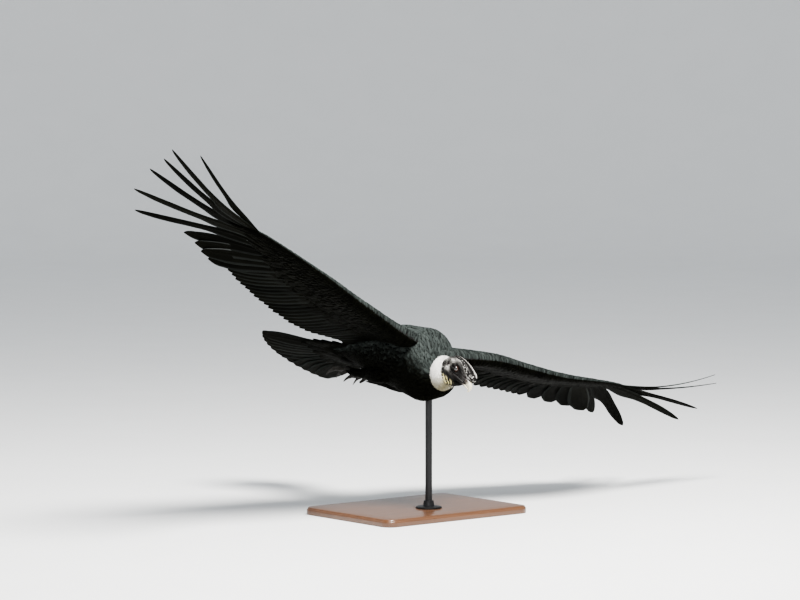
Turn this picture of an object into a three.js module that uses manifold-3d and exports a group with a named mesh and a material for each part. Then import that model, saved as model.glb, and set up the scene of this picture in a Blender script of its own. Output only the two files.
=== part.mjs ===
// A life-size male Andean condor, gliding in a left-hand bank, held over a flat base by one rod.
// Millimetres, +Z up. The origin is the middle of the base's underside. The bird heads along -Y.
// The bird itself is drawn in its own frame: X forward, Y to its left, Z up, origin between its shoulders.

import * as THREE from "three";
import Module from "manifold-3d";

const wasm = await Module();
wasm.setup();

// Driving dimensions.
const GAP = 0.3; // clearance between touching pieces
const BODY_HEIGHT = 600; // shoulders above the floor
const BANK = 21; // degrees, left wing down
const PITCH = 0.3; // degrees, nose down
const SHOULDER = { x: -15, y: 92, z: -17 };
const WRIST_SPAN = 540; // shoulder to wrist, along the wing
const HAND_END = 800; // shoulder to the end of the hand
const ROD_RADIUS = 12;
const BASE = { length: 640, width: 480, thickness: 26, corner: 40, bevel: 4 };

const LEFT = 1;
const RIGHT = -1;
const degrees = THREE.MathUtils.degToRad;
const lerp = THREE.MathUtils.lerp;
const at = (x, y, z) => new THREE.Vector3(x, y, z);

// A smooth step from 0 to 1 as x goes from a to b.
const ease = (x, a, b) => THREE.MathUtils.smoothstep(x, a, b);

// Reads a list of [place, value] rows at x, with straight lines between the rows.
function profile(rows, x) {
  if (x <= rows[0][0]) return rows[0][1];
  for (let i = 1; i < rows.length; i++)
    if (x <= rows[i][0]) {
      const [x0, v0] = rows[i - 1];
      const [x1, v1] = rows[i];
      return lerp(v0, v1, (x - x0) / (x1 - x0));
    }
  return rows.at(-1)[1];
}

// A triangle mesh as a solid, turned so that its faces point out.
function solidFrom(positions, triangles) {
  let volume = 0;
  const p = (i) => at(...positions.slice(3 * i, 3 * i + 3));
  for (let i = 0; i < triangles.length; i += 3)
    volume += p(triangles[i]).dot(p(triangles[i + 1]).cross(p(triangles[i + 2])));
  if (volume < 0)
    for (let i = 0; i < triangles.length; i += 3)
      [triangles[i + 1], triangles[i + 2]] = [triangles[i + 2], triangles[i + 1]];
  return new wasm.Manifold(
    new wasm.Mesh({
      numProp: 3,
      vertProperties: new Float32Array(positions),
      triVerts: new Uint32Array(triangles),
    }),
  );
}

const middle = (ring) =>
  ring.reduce((sum, q) => sum.add(q), at(0, 0, 0)).divideScalar(ring.length);

// A closed body through rings of points, with a fan of faces to a point at each end.
function loft(rings, start = middle(rings[0]), end = middle(rings.at(-1))) {
  const count = rings[0].length;
  const points = [...rings.flat(), start, end];
  const triangles = [];
  for (let r = 0; r + 1 < rings.length; r++)
    for (let i = 0; i < count; i++) {
      const a = r * count + i;
      const b = r * count + ((i + 1) % count);
      triangles.push(a, b, a + count, b, b + count, a + count);
    }
  const last = (rings.length - 1) * count;
  const startPoint = rings.length * count;
  for (let i = 0; i < count; i++) {
    const j = (i + 1) % count;
    triangles.push(j, i, startPoint, last + i, last + j, startPoint + 1);
  }
  return solidFrom(points.flatMap((q) => [q.x, q.y, q.z]), triangles);
}

// A three.js geometry as a solid.
function solidOf(geometry) {
  const source = geometry.index ? geometry.toNonIndexed() : geometry;
  const found = new Map();
  const positions = [];
  const triangles = [];
  const read = source.getAttribute("position");
  for (let i = 0; i < read.count; i++) {
    const q = [read.getX(i), read.getY(i), read.getZ(i)];
    const key = q.map((v) => Math.round(v * 1e4)).join();
    if (!found.has(key)) {
      found.set(key, positions.length / 3);
      positions.push(...q);
    }
    triangles.push(found.get(key));
  }
  const kept = [];
  for (let i = 0; i < triangles.length; i += 3) {
    const [a, b, c] = triangles.slice(i, i + 3);
    if (a !== b && b !== c && c !== a) kept.push(a, b, c);
  }
  return solidFrom(positions, kept);
}

// Joins pieces into one body, cuts others away from it and keeps its largest closed surface.
function fuse(pieces, cuts = []) {
  let body = wasm.Manifold.union(pieces);
  for (const cut of cuts) body = body.subtract(cut);
  return body.decompose().reduce((a, b) => (b.volume() > a.volume() ? b : a));
}

function geometryOf(solid) {
  const mesh = solid.getMesh();
  const geometry = new THREE.BufferGeometry();
  geometry.setAttribute("position", new THREE.BufferAttribute(mesh.vertProperties, 3));
  geometry.setIndex(new THREE.BufferAttribute(mesh.triVerts, 1));
  geometry.computeVertexNormals();
  return geometry;
}

// Rings.

// An egg-shaped ring round a centre, in the plane of two directions: half-width w, height up and depth down.
function eggRing(centre, across, above, w, up, down, sides) {
  return Array.from({ length: sides }, (_, i) => {
    const turn = ((i + 0.5) * 2 * Math.PI) / sides;
    const v = Math.sin(turn) * (Math.sin(turn) > 0 ? up : down);
    return centre
      .clone()
      .addScaledVector(across, w * Math.cos(turn))
      .addScaledVector(above, v);
  });
}

// A tube along points, with a radius at each point, flattened by squash across its own upright direction.
function tube(points, radii, sides = 8, squash = 1, tips = {}) {
  const rings = points.map((centre, i) => {
    const along = points[Math.min(i + 1, points.length - 1)]
      .clone()
      .sub(points[Math.max(i - 1, 0)])
      .normalize();
    const helper = Math.abs(along.z) > 0.9 ? at(1, 0, 0) : at(0, 0, 1);
    const across = helper.clone().cross(along).normalize();
    const above = along.clone().cross(across).normalize();
    const r = radii[i];
    return eggRing(centre, across, above, r * squash, r, r, sides);
  });
  return loft(rings, tips.start, tips.end);
}

// Points of a smooth curve through a few chosen ones.
const curve = (points, count) =>
  new THREE.CatmullRomCurve3(points, false, "centripetal").getPoints(count - 1);

// Torso: egg-shaped sections from the blunt breast to the rump.
const TORSO_SIDES = 16;
const TORSO = [
  // x, centre height, half-width, up, down
  [134, -122, 44, 30, 36],
  [124, -116, 64, 46, 56],
  [106, -104, 84, 66, 80],
  [80, -86, 98, 86, 108],
  [40, -60, 108, 104, 145],
  [-20, -50, 114, 102, 144],
  [-90, -42, 118, 94, 134],
  [-170, -46, 104, 78, 112],
  [-260, -54, 90, 60, 76],
  [-340, -61, 70, 42, 46],
  [-392, -66, 54, 28, 28],
];
const CROP_TIP = at(138, 0, -124);

function torsoShape(grow) {
  const rings = TORSO.map(([x, z, w, up, down]) =>
    eggRing(at(x, 0, z), at(0, 1, 0), at(0, 0, 1), w + grow, up + grow, down + grow, TORSO_SIDES),
  );
  return loft(rings, CROP_TIP.clone().add(at(grow, 0, 0)), at(-392 - grow, 0, -64));
}

// Head frame: X along the bill, origin at the middle of the skull.
const HEAD_PLACE = { x: 180, y: 10, z: -77, turn: 16, nod: 29.5, tilt: 0 };
const HEAD_SIDES = 14;
const SKULL = [
  // x, centre height, half-width, up, down
  [-46, -3, 22, 21, 24],
  [-36, -1, 28, 27, 30],
  [-18, 0, 31, 31, 32],
  [2, 0, 31, 31, 33],
  [20, -2, 26, 27, 29],
  [38, -5, 19, 21, 23],
  [52, -7, 14, 17, 18],
  [62, -8, 12, 15, 15],
];
const EYE = { x: 13, y: 24.5, z: 3, radius: 10.5 };

const headMatrix = new THREE.Matrix4().compose(
  at(HEAD_PLACE.x, HEAD_PLACE.y, HEAD_PLACE.z),
  new THREE.Quaternion().setFromEuler(
    new THREE.Euler(
      degrees(HEAD_PLACE.tilt),
      degrees(HEAD_PLACE.nod),
      degrees(HEAD_PLACE.turn),
      "ZYX",
    ),
  ),
  at(1, 1, 1),
);
const onHead = (solid) => solid.transform(headMatrix.elements.slice());

function skullShape(grow) {
  const rings = SKULL.map(([x, z, w, up, down]) =>
    eggRing(at(x, 0, z), at(0, 1, 0), at(0, 0, 1), w + grow, up + grow, down + grow, HEAD_SIDES),
  );
  return loft(rings, at(-51 - grow, 0, -4), at(62 + grow, 0, -8));
}

function eyeShape(side, grow) {
  const ball = new THREE.SphereGeometry(EYE.radius + grow, 11, 7);
  ball.translate(EYE.x, side * EYE.y, EYE.z);
  return solidOf(ball);
}

// A rounded ring of skin round each eye.
function lidShape(side) {
  const ring = new THREE.TorusGeometry(10.2, 2.6, 5, 11);
  ring.rotateX(Math.PI / 2);
  ring.scale(1.08, 1, 0.88);
  ring.rotateZ(side * degrees(-14));
  ring.translate(EYE.x, side * (EYE.y + 4.5), EYE.z);
  return solidOf(ring);
}

const MOUTH = { back: 16, height: -17, thickness: 1.2 };
const NOSTRIL = { x: 52, z: 0, length: 9, height: 3.4 };
const EAR = { x: -22, z: -4, radius: 5 };

function headShape() {
  const pieces = [];
  for (const side of [LEFT, RIGHT]) {
    pieces.push(lidShape(side));
    // The fold of skin from the forehead over the eye and down behind the ear.
    const fold = curve(
      [at(40, side * 14, 8), at(24, side * 24, 17), at(2, side * 27, 21), at(-22, side * 28, 15),
        at(-38, side * 29, -2), at(-40, side * 27, -20)],
      7,
    );
    pieces.push(tube(fold, [2.5, 4.5, 6, 6.5, 6.5, 6, 4], 6));
    // The edge of the gape, below the eye.
    const lip = curve([at(60, side * 11, -16), at(40, side * 17.5, -18), at(20, side * 25, -18)], 4);
    pieces.push(tube(lip, [2, 3, 3.5, 2.5], 6));
  }
  // The throat wattle, a hanging fold under the chin.
  const wattle = curve([at(34, 0, -24), at(10, 0, -36), at(-18, 0, -42), at(-48, 0, -34)], 6);
  pieces.push(tube(wattle, [4, 8, 10, 10, 8, 5], 8, 0.55));
  const mouth = new THREE.BoxGeometry(60, 80, MOUTH.thickness);
  mouth.translate(MOUTH.back + 30, 0, MOUTH.height);
  const nostril = new THREE.BoxGeometry(NOSTRIL.length, 60, NOSTRIL.height);
  nostril.translate(NOSTRIL.x, 0, NOSTRIL.z);
  const cuts = [solidOf(mouth), solidOf(nostril)];
  for (const side of [LEFT, RIGHT]) {
    cuts.push(eyeShape(side, GAP));
    const ear = new THREE.SphereGeometry(EAR.radius, 8, 6);
    ear.translate(EAR.x, side * 32, EAR.z);
    cuts.push(solidOf(ear));
  }
  // The folds stay clear of the neck, which meets the skull itself.
  const folds = onHead(wasm.Manifold.union(pieces)).subtract(neckBody(GAP));
  return fuse([onHead(skullShape(0)), folds], [...cuts.map(onHead), torsoShape(GAP), ruffBody(GAP)]);
}

// The comb: a fleshy crest from the crown to over the bill, blunt in front, with a thin lit ridge,
// a groove under it and a lumpy base.
const COMB = [
  // x, base height, ridge height, half-width of base, groove and ridge
  [-38, 22, 31, 3, 2.5, 2],
  [-26, 24, 38, 8, 4, 2.6],
  [-10, 24, 41, 12, 4.5, 3],
  [8, 22, 43, 10, 5, 3.2],
  [24, 16, 43, 13, 5, 3.4],
  [38, 8, 42, 11, 5.5, 3.6],
  [52, 2, 40, 12, 6, 4],
  [64, -2, 37, 10, 6.5, 4.4],
  [76, 3, 34, 9, 7, 4.6],
  [85, 7, 27, 6.5, 6, 4],
];

function combShape() {
  const rings = COMB.map(([x, low, high, base, groove, ridge]) => {
    const side = [
      [base * 0.8, low],
      [base, lerp(low, high, 0.28)],
      [groove, lerp(low, high, 0.66)],
      [ridge, lerp(low, high, 0.9)],
    ];
    const ring = [...side, [0, high], ...side.map(([y, z]) => [-y, z]).reverse()];
    return ring.map(([y, z]) => at(x, y, z));
  });
  return fuse([loft(rings, undefined, at(89, 0, 17))], [skullShape(GAP), upperBillBody(GAP)]);
}

// The bill: an upper half that hooks over a shorter lower half.
const BILL_SIDES = 10;
const UPPER_BILL = [
  // x, centre height, half-width, up, down, slope of the section
  [62.3, -3.5, 11, 10, 11.5, 0],
  [72, -4, 10, 10, 11, 8],
  [82, -7, 8.4, 9.5, 9.5, 26],
  [90, -12, 6.8, 8, 7.5, 50],
  [94.5, -19, 5, 5.6, 5, 74],
  [95, -25.5, 3, 3.2, 3, 92],
];

function upperBillBody(grow) {
  const rings = UPPER_BILL.map(([x, z, w, up, down, slope]) => {
    const above = at(Math.sin(degrees(slope)), 0, Math.cos(degrees(slope)));
    return eggRing(at(x, 0, z), at(0, 1, 0), above, w + grow, up + grow, down + grow, BILL_SIDES);
  });
  return loft(rings, undefined, at(93, 0, -32 - grow));
}

const upperBillShape = () => fuse([upperBillBody(0)]);

function lowerBillShape() {
  const rings = [
    [62.3, -19.5, 8.5, 3, 4.5],
    [72, -19.5, 7.4, 2.6, 4.6],
    [82, -20, 5.8, 2.2, 4.4],
    [89, -20.5, 3.8, 1.8, 3.2],
  ].map(([x, z, w, up, down]) => eggRing(at(x, 0, z), at(0, 1, 0), at(0, 0, 1), w, up, down, BILL_SIDES));
  return fuse([loft(rings, undefined, at(92, 0, -20.5))], [upperBillBody(GAP)]);
}

// Neck and ruff, along one line from inside the breast to the back of the skull.
const NECK_SIDES = 15;
const neckLine = new THREE.CatmullRomCurve3([
  at(50, 0, -86),
  at(104, 1, -101),
  at(132, 3, -101),
  at(156, 6, -94),
  at(177, 9, -81),
]);
const NECK_RADIUS = 37;
const RUFF = {
  start: 0.33,
  end: 0.65,
  // share of its depth, radius
  outline: [
    [0, 56],
    [0.18, 64],
    [0.42, 67],
    [0.7, 63],
    [0.9, 54],
    [1, 45],
  ],
};

function neckRing(t, radius) {
  const along = neckLine.getTangent(t);
  const across = at(0, 0, 1).cross(along).normalize();
  const above = along.clone().cross(across);
  return eggRing(neckLine.getPoint(t), across, above, radius, radius, radius, NECK_SIDES);
}

// The swollen body of the ruff, grown by a clearance for the pocket it sits in.
function ruffBody(grow) {
  const { start, end, outline } = RUFF;
  const length = neckLine.getLength();
  const rings = outline.map(([share, radius], i) => {
    const shift = i === 0 ? -grow / length : i === outline.length - 1 ? grow / length : 0;
    return neckRing(lerp(start, end, share) + shift, radius + grow);
  });
  return loft(rings);
}

// The ruff's down as flat tapered locks in rows round it, sweeping back and bending outwards.
const LOCK_ROWS = [
  // share of the ruff's depth, count, length, lean outwards
  [0.78, 11, 32, 0.34],
  [0.4, 12, 34, 0.36],
];

function ruffLock(t, turn, length, lean) {
  const along = neckLine.getTangent(t);
  const across = at(0, 0, 1).cross(along).normalize();
  const above = along.clone().cross(across);
  const out = across.clone().multiplyScalar(Math.cos(turn)).addScaledVector(above, Math.sin(turn));
  const aside = along.clone().cross(out);
  const share = (t - RUFF.start) / (RUFF.end - RUFF.start);
  const root = neckLine.getPoint(t).addScaledVector(out, profile(RUFF.outline, share) - 5);
  const rings = [
    [0, 11, 2],
    [0.4, 14, 1.6],
    [0.78, 9, 1],
  ].map(([s, width, half]) => {
    const centre = root
      .clone()
      .addScaledVector(along, -length * s * 0.9)
      .addScaledVector(out, length * lean * Math.sin(s * 2.2));
    const left = centre.clone().addScaledVector(aside, width);
    const right = centre.clone().addScaledVector(aside, -width);
    return [left.clone().addScaledVector(out, half), right.clone().addScaledVector(out, half),
      right.clone().addScaledVector(out, -half), left.clone().addScaledVector(out, -half)];
  });
  const tip = root
    .clone()
    .addScaledVector(along, -length * 0.92)
    .addScaledVector(out, length * lean * Math.sin(2.2) + 1);
  return loft(rings, root, tip);
}

function ruffShape() {
  const locks = LOCK_ROWS.flatMap(([share, count, length, lean], row) =>
    Array.from({ length: count }, (_, i) =>
      ruffLock(
        lerp(RUFF.start, RUFF.end, share),
        ((i + row * 0.5) / count) * 2 * Math.PI + 0.1 * Math.sin(i * 5 + row),
        length * (1 + 0.1 * Math.sin(i * 3 + row * 2)),
        lean,
      ),
    ),
  );
  const clear = wasm.Manifold.union(locks).subtract(torsoShape(GAP));
  return fuse([ruffBody(0), clear]);
}

// The bare neck, from the front of the ruff up to the skull, with folds round it.
function neckBody(grow) {
  const folds = [0.5, 3, 1, 3, 1, 2.5, 0];
  const rings = folds.map((fold, i) => {
    const reach = neckLine.getLength();
    const t = lerp(RUFF.end + (2 * GAP - grow) / reach, 0.985 + grow / reach, i / (folds.length - 1));
    return neckRing(t, NECK_RADIUS + fold + grow);
  });
  return loft(rings);
}

const neckShape = () => fuse([neckBody(0)], [torsoShape(GAP), onHead(skullShape(GAP))]);

// Wings. A wing is drawn flat, by span o outwards from the shoulder, chord f forwards and height h,
// and wingPoint bends it: the arm and the hand each have their own dihedral and sweep.
const WING_POSE = {
  [RIGHT]: { armUp: 5.5, handUp: 9, armSweep: 5, handSweep: 3, armTwist: 5, handTwist: 3 },
  [LEFT]: { armUp: 7.5, handUp: 14, armSweep: 5, handSweep: -3, armTwist: 5, handTwist: 11 },
};
const WRIST_BEND = 70; // span over which the arm turns into the hand
// How far each wing bows up from that, by span: the lower wing at its elbow, the raised one past its wrist.
const BOW = {
  [RIGHT]: [[0, -6], [120, -9], [260, -3], [400, 5], [560, 15], [700, 24], [800, 26], [900, 15], [1000, 5], [1120, 0]],
  [LEFT]: [[0, -5], [90, 7], [170, 15], [320, 11], [450, 7], [600, 9], [720, 9], [850, 5], [1000, 0]],
};
const ROOT_TWIST = 4; // how much flatter the wing lies at its root, in degrees
const CAMBER = 28 / 340 ** 2; // drop of the trailing edge
const LEADING_EDGE = [
  [-80, 60],
  [0, 74],
  [150, 84],
  [320, 84],
  [470, 90],
  [560, 84],
  [680, 62],
  [800, 36],
];
const THICKNESS = [
  [-80, 76],
  [0, 70],
  [120, 60],
  [300, 48],
  [470, 38],
  [560, 30],
  [700, 20],
  [800, 12],
];

function wingPoint(side, o, f, h) {
  const pose = WING_POSE[side];
  const past = WRIST_BEND * Math.log1p(Math.exp((o - WRIST_SPAN) / WRIST_BEND));
  const hand = 1 / (1 + Math.exp((WRIST_SPAN - o) / WRIST_BEND));
  const mix = (a, b, fn) => o * fn(degrees(a)) + past * (fn(degrees(b)) - fn(degrees(a)));
  const x = mix(pose.armSweep, pose.handSweep, Math.sin);
  const y = mix(pose.armUp, pose.handUp, Math.cos);
  const z = mix(pose.armUp, pose.handUp, Math.sin);
  const up = degrees(lerp(pose.armUp, pose.handUp, hand));
  const root = ROOT_TWIST * (1 - ease(o, 0, 280));
  const twist = degrees(lerp(pose.armTwist, pose.handTwist, ease(o, 420, 820)) - root);
  const forward = at(Math.cos(twist), 0, Math.sin(twist));
  const above = at(-Math.sin(twist), -side * Math.sin(up), Math.cos(up) * Math.cos(twist)).normalize();
  const bow = profile(BOW[side], o);
  return at(SHOULDER.x + x, side * (SHOULDER.y + y), SHOULDER.z + z + bow)
    .addScaledVector(forward, f)
    .addScaledVector(above, h - CAMBER * f * f);
}

// The fleshy part of the wing: a thick, round leading edge that thins to the feather roots.
const FLESH_TOP = [
  // share of the leading edge, share of the thickness
  [1, 0.04],
  [0.88, 0.34],
  [0.5, 0.5],
  [0, 0.5],
];
const FLESH_BACK = [
  // distance behind the spar, share of the thickness above and below
  [-60, 0.34, -0.26],
  [-120, 0.16, -0.12],
  [-165, 0.04, -0.04],
];
const FLESH_UNDER = [
  [0, -0.38],
  [0.5, -0.4],
  [0.88, -0.28],
];
const FLESH_STATIONS = [-60, 0, 80, 180, 300, 420, 500, 560, 640, 720, HAND_END];

function fleshRing(side, o) {
  const lead = profile(LEADING_EDGE, o);
  const thick = profile(THICKNESS, o);
  const reach = lerp(1, 0.55, ease(o, WRIST_SPAN, HAND_END));
  const section = [
    ...FLESH_TOP.map(([a, share]) => [lead * a, share]),
    ...FLESH_BACK.map(([f, above]) => [f * reach, above]),
    ...FLESH_BACK.map(([f, , below]) => [f * reach, below]).reverse(),
    ...FLESH_UNDER.map(([a, share]) => [lead * a, share]),
  ];
  return section.map(([f, share]) => wingPoint(side, o, f, share * thick));
}

function wingFlesh(side) {
  const tip = wingPoint(side, HAND_END + 25, 14, 0);
  return loft(FLESH_STATIONS.map((o) => fleshRing(side, o)), undefined, tip);
}

// One vane on the wing. It is given by where its shaft starts (o, f, h), the way it points (turn,
// degrees from straight back towards the tip), its length, its height at the tip, its rows of
// [share of the length, width before the shaft, width behind it] and how much it tilts over the next.
const TILT = 0.1;
const EDGE = 1; // thickness of a vane's edges

function wingVane(side, vane, rows, shaft) {
  const { o, f, h, turn, length, rise = 0, lift = 0 } = vane;
  const angle = degrees(turn);
  const place = (share, v, half) => {
    const s = length * share;
    return wingPoint(
      side,
      o + s * Math.sin(angle) + v * Math.cos(angle),
      f - s * Math.cos(angle) + v * Math.sin(angle),
      h + rise * share + lift * length * share * share + TILT * v + half,
    );
  };
  const rings = rows.slice(0, -1).map(([share, before, behind]) => {
    const half = EDGE / 2;
    const top = [place(share, before, half), place(share, -behind, half)];
    const under = [place(share, -behind, -half), place(share, before, -half)];
    if (shaft) {
      const core = lerp(shaft[0], shaft[1], share);
      top.splice(1, 0, place(share, 0, core));
      under.splice(1, 0, place(share, 0, -core));
    }
    return [...top, ...under];
  });
  const [, before, behind] = rows.at(-1);
  return loft(rings, place(0, 0, 0), place(1, (before - behind) / 2, 0));
}

// The ten primaries, innermost first: the outer six spread as fingers.
const PRIMARIES = [
  // root o, root f, length, width before and behind the shaft
  [545, -14, 360, 24, 50],
  [574, -13, 360, 24, 50],
  [603, -12, 362, 23, 50],
  [632, -10, 380, 22, 50],
  [661, -6, 515, 20, 48],
  [690, 0, 545, 19, 46],
  [719, 6, 560, 18, 44],
  [746, 13, 572, 16, 38],
  [772, 21, 590, 14, 32],
  [794, 30, 530, 10, 22],
];
// Where each of them points in the bank, as [turn, lift, rise]: the lower wing's fingers hang further back.
const SPREAD = {
  [RIGHT]: [[24, -0.024], [27, -0.024], [29, -0.002], [33, 0.03], [53, -0.015], [73, -0.04],
    [88, 0.01], [98, 0.04], [104, 0.07], [113, 0.044, 35]],
  [LEFT]: [[28, 0.005], [35, -0.02], [42, -0.055], [47, -0.09], [48, -0.022], [57, -0.126], [77, -0.135],
    [82, -0.07], [87, 0.087], [89, 0.147]],
};
const FLIGHT_ROWS = [[0, 0.4, 0.4], [0.45, 1, 1], [0.86, 0.96, 0.86], [0.97, 0.55, 0.42], [1, 0.2, 0.2]];
const FINGER_ROWS = [[0, 0.3, 0.3], [0.2, 0.9, 0.7], [0.42, 1, 1], [0.54, 0.8, 0.62], [0.76, 0.66, 0.5],
  [0.92, 0.4, 0.3], [1, 0.1, 0.1]];
const SECONDARY_ROWS = [[0, 0.5, 0.5], [0.5, 1, 1], [0.93, 0.85, 0.7], [1, 0.2, 0.2]];
const COVERT_ROWS = [[0, 0.5, 0.5], [0.75, 1, 0.9], [0.95, 0.6, 0.5], [1, 0.2, 0.2]];

function primaryVanes(side) {
  return PRIMARIES.map(([o, f, length, before, behind], i) => {
    const rows = (i < 4 ? FLIGHT_ROWS : FINGER_ROWS).map(([s, a, b]) => [s, a * before, b * behind]);
    const [turn, lift, rise] = SPREAD[side][i];
    return wingVane(side, { o, f, h: 0, turn, length, lift, rise }, rows, [3, 0.8]);
  });
}

const SECONDARIES = 18;

function secondaryVanes(side) {
  return Array.from({ length: SECONDARIES }, (_, i) => {
    const along = i / (SECONDARIES - 1);
    const vane = {
      o: lerp(36, 520, along),
      f: -16,
      h: 0,
      turn: lerp(-7, 20, along),
      length: lerp(330, 350, Math.sin(along * Math.PI)) - 26 * (1 - ease(along, 0, 0.25)),
    };
    return wingVane(side, vane, SECONDARY_ROWS.map(([s, a, b]) => [s, a * 32, b * 48]), [2.4, 0.7]);
  });
}

// Greater coverts: one tier above and one below, over the roots of the flight feathers.
const COVERTS = 13;
const PRIMARY_COVERTS = 5;

function covertVanes(side, above) {
  const h = above ? 4 : -4;
  const rise = above ? 5 : -5;
  const arm = Array.from({ length: COVERTS }, (_, i) => {
    const along = i / (COVERTS - 1);
    return { o: lerp(40, 528, along), f: -64, turn: lerp(-7, 22, along), length: above ? 166 : 148 };
  });
  const hand = Array.from({ length: PRIMARY_COVERTS }, (_, i) => {
    const along = i / (PRIMARY_COVERTS - 1);
    return {
      o: lerp(562, 772, along),
      f: lerp(-44, -6, along),
      turn: lerp(28, 72, along),
      length: lerp(150, 118, along),
    };
  });
  const rows = COVERT_ROWS.map(([s, a, b]) => [s, a * 30, b * 30]);
  return [...arm, ...hand].map((vane) => wingVane(side, { ...vane, h, rise }, rows));
}

// The thumb feathers, a short stiff group on the leading edge past the wrist.
function alulaVanes(side) {
  const rows = COVERT_ROWS.map(([s, a, b]) => [s, a * 9, b * 15]);
  return [0, 1].map((i) =>
    wingVane(side, { o: 566 - 22 * i, f: 52 - 10 * i, h: 8 + 3 * i, turn: 80, length: 150 - 34 * i }, rows),
  );
}

function wingShape(side) {
  const vanes = [
    ...secondaryVanes(side),
    ...primaryVanes(side),
    ...covertVanes(side, true),
    ...covertVanes(side, false),
    ...alulaVanes(side),
  ];
  return fuse([wingFlesh(side), ...vanes], [torsoShape(GAP)]);
}

// Tail: a fan behind the rump, twisted left side down.
const TAIL = {
  x: -372,
  z: -68,
  length: 494,
  feathers: 12,
  fan: 16.5, // degrees from the middle to the outermost shaft
  shorter: 0.125, // how much shorter the outermost is
  half: 31, // half-width of one feather
  root: 24, // half the spacing of the outermost roots
  twist: 14,
  droop: 3,
  yaw: 5, // the whole fan swings to the lower side
};

const tailMatrix = new THREE.Matrix4().compose(
  at(TAIL.x, 0, TAIL.z),
  new THREE.Quaternion().setFromEuler(
    new THREE.Euler(degrees(-TAIL.twist), degrees(-TAIL.droop), degrees(-TAIL.yaw), "ZYX"),
  ),
  at(1, 1, 1),
);
const tailPoint = (back, across, h) => at(-back, across, h).applyMatrix4(tailMatrix);

// The tail feathers: the middle pair lies on top and each next one lies under its inner neighbour.
const TAIL_ROWS = [[0, 0.4], [0.4, 0.9], [0.88, 1], [0.975, 0.6], [1, 0.2]];

function tailVanes() {
  return Array.from({ length: TAIL.feathers }, (_, i) => {
    const place = (i - (TAIL.feathers - 1) / 2) / ((TAIL.feathers - 1) / 2);
    const turn = degrees(TAIL.fan * place);
    const length = TAIL.length * (1 - TAIL.shorter * place * place);
    const point = (share, v, half) => {
      const s = length * share;
      const out = Math.sign(place) * v;
      const height = TILT * out - 3 * Math.abs(place) + (place > 0 && place < 0.1 ? 1.5 : 0);
      return tailPoint(
        s * Math.cos(turn) - v * Math.sin(turn),
        place * TAIL.root + s * Math.sin(turn) + v * Math.cos(turn),
        height + half,
      );
    };
    const rings = TAIL_ROWS.slice(0, -1).map(([share, width]) => {
      const w = TAIL.half * width;
      const core = lerp(2, 0.8, share);
      return [point(share, w, 0.5), point(share, 0, core), point(share, -w, 0.5), point(share, -w, -0.5),
        point(share, 0, -core), point(share, w, -0.5)];
    });
    return loft(rings, point(0, 0, 0), point(1, 0, 0));
  });
}

// The rump and the coverts above and below the tail, which hold the feathers' roots.
function rumpFlesh() {
  const rings = [
    [-30, 46, 26, 32],
    [20, 50, 22, 32],
    [80, 52, 14, 24],
    [135, 48, 7, 13],
    [185, 36, 2.4, 4],
  ].map(([back, w, up, down]) =>
    eggRing(tailPoint(back, 0, 0), at(0, 1, 0), at(0, 0, 1), w, up, down, 12),
  );
  return loft(rings);
}

function tailShape() {
  return fuse([rumpFlesh(), ...tailVanes()], [torsoShape(GAP)]);
}

// Legs, carried straight back under the tail.
const LEG = {
  thigh: [at(-52, 52, -112), at(-112, 54, -132), at(-172, 50, -142), at(-228, 44, -144)],
  shank: [at(-228, 44, -144), at(-290, 42, -144), at(-344, 40, -134)],
};
const onSide = (point, side) => at(point.x, side * point.y, point.z);

function thighBody(side, grow) {
  const line = curve(LEG.thigh.map((q) => onSide(q, side)), 6);
  const radii = [34, 40, 38, 30, 20, 12].map((r) => r + grow);
  return tube(line, radii, 12, 0.9, { end: line.at(-1).add(at(-grow, 0, 0)) });
}

const thighShape = (side) => fuse([thighBody(side, 0)], [torsoShape(GAP)]);

function shankBody(side, grow) {
  const line = curve(LEG.shank.map((q) => onSide(q, side)), 4);
  const end = line.at(-1).clone().add(at(-grow, 0, 0));
  return tube([...line.slice(0, -1), end], [11, 9.5, 9.5, 12].map((r) => r + grow), 8);
}

const shankShape = (side) => fuse([shankBody(side, 0)], [thighBody(side, GAP), torsoShape(GAP)]);

const TOES = [
  // name, sideways angle, length, radius
  ["inner", -16, 58, 7.5],
  ["middle", 1, 82, 8],
  ["outer", 18, 60, 7.5],
];

function toeLine(side, spread, length) {
  const turn = degrees(spread) * side;
  const root = onSide(LEG.shank.at(-1), side);
  const step = (d, drop) => root.clone().add(at(-d * Math.cos(turn), d * Math.sin(turn), -drop));
  return curve([step(0, 0), step(length * 0.5, 4), step(length * 0.85, 7), step(length, 12)], 5);
}

function footShape(side) {
  const toes = TOES.map(([, spread, length, radius]) =>
    tube(toeLine(side, spread, length), [radius + 2, radius, radius, radius * 0.9, radius * 0.72], 5),
  );
  const root = onSide(LEG.shank.at(-1), side);
  const hind = tube(
    curve([root, root.clone().add(at(2, side * 4, -12)), root.clone().add(at(-16, side * 6, -24))], 4),
    [8, 7, 6, 5],
    5,
  );
  return fuse([...toes, hind], [shankBody(side, GAP)]);
}

function clawShapes(side) {
  return TOES.map(([name, spread, length, radius]) => {
    const line = toeLine(side, spread, length);
    const tip = line.at(-1);
    const along = tip.clone().sub(line.at(-2)).normalize();
    const points = [0, 9, 17, 23].map((d) =>
      tip.clone().addScaledVector(along, d + 3 * GAP).add(at(0, 0, -0.012 * d * d)),
    );
    return [name, fuse([tube(points, [radius * 0.62, radius * 0.52, radius * 0.36, 1.2], 6)])];
  });
}

// The stand: a flat base with rounded corners, a flange and one rod up into the breast.
const ROD = { x: 0, y: -66, top: 490 };

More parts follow.
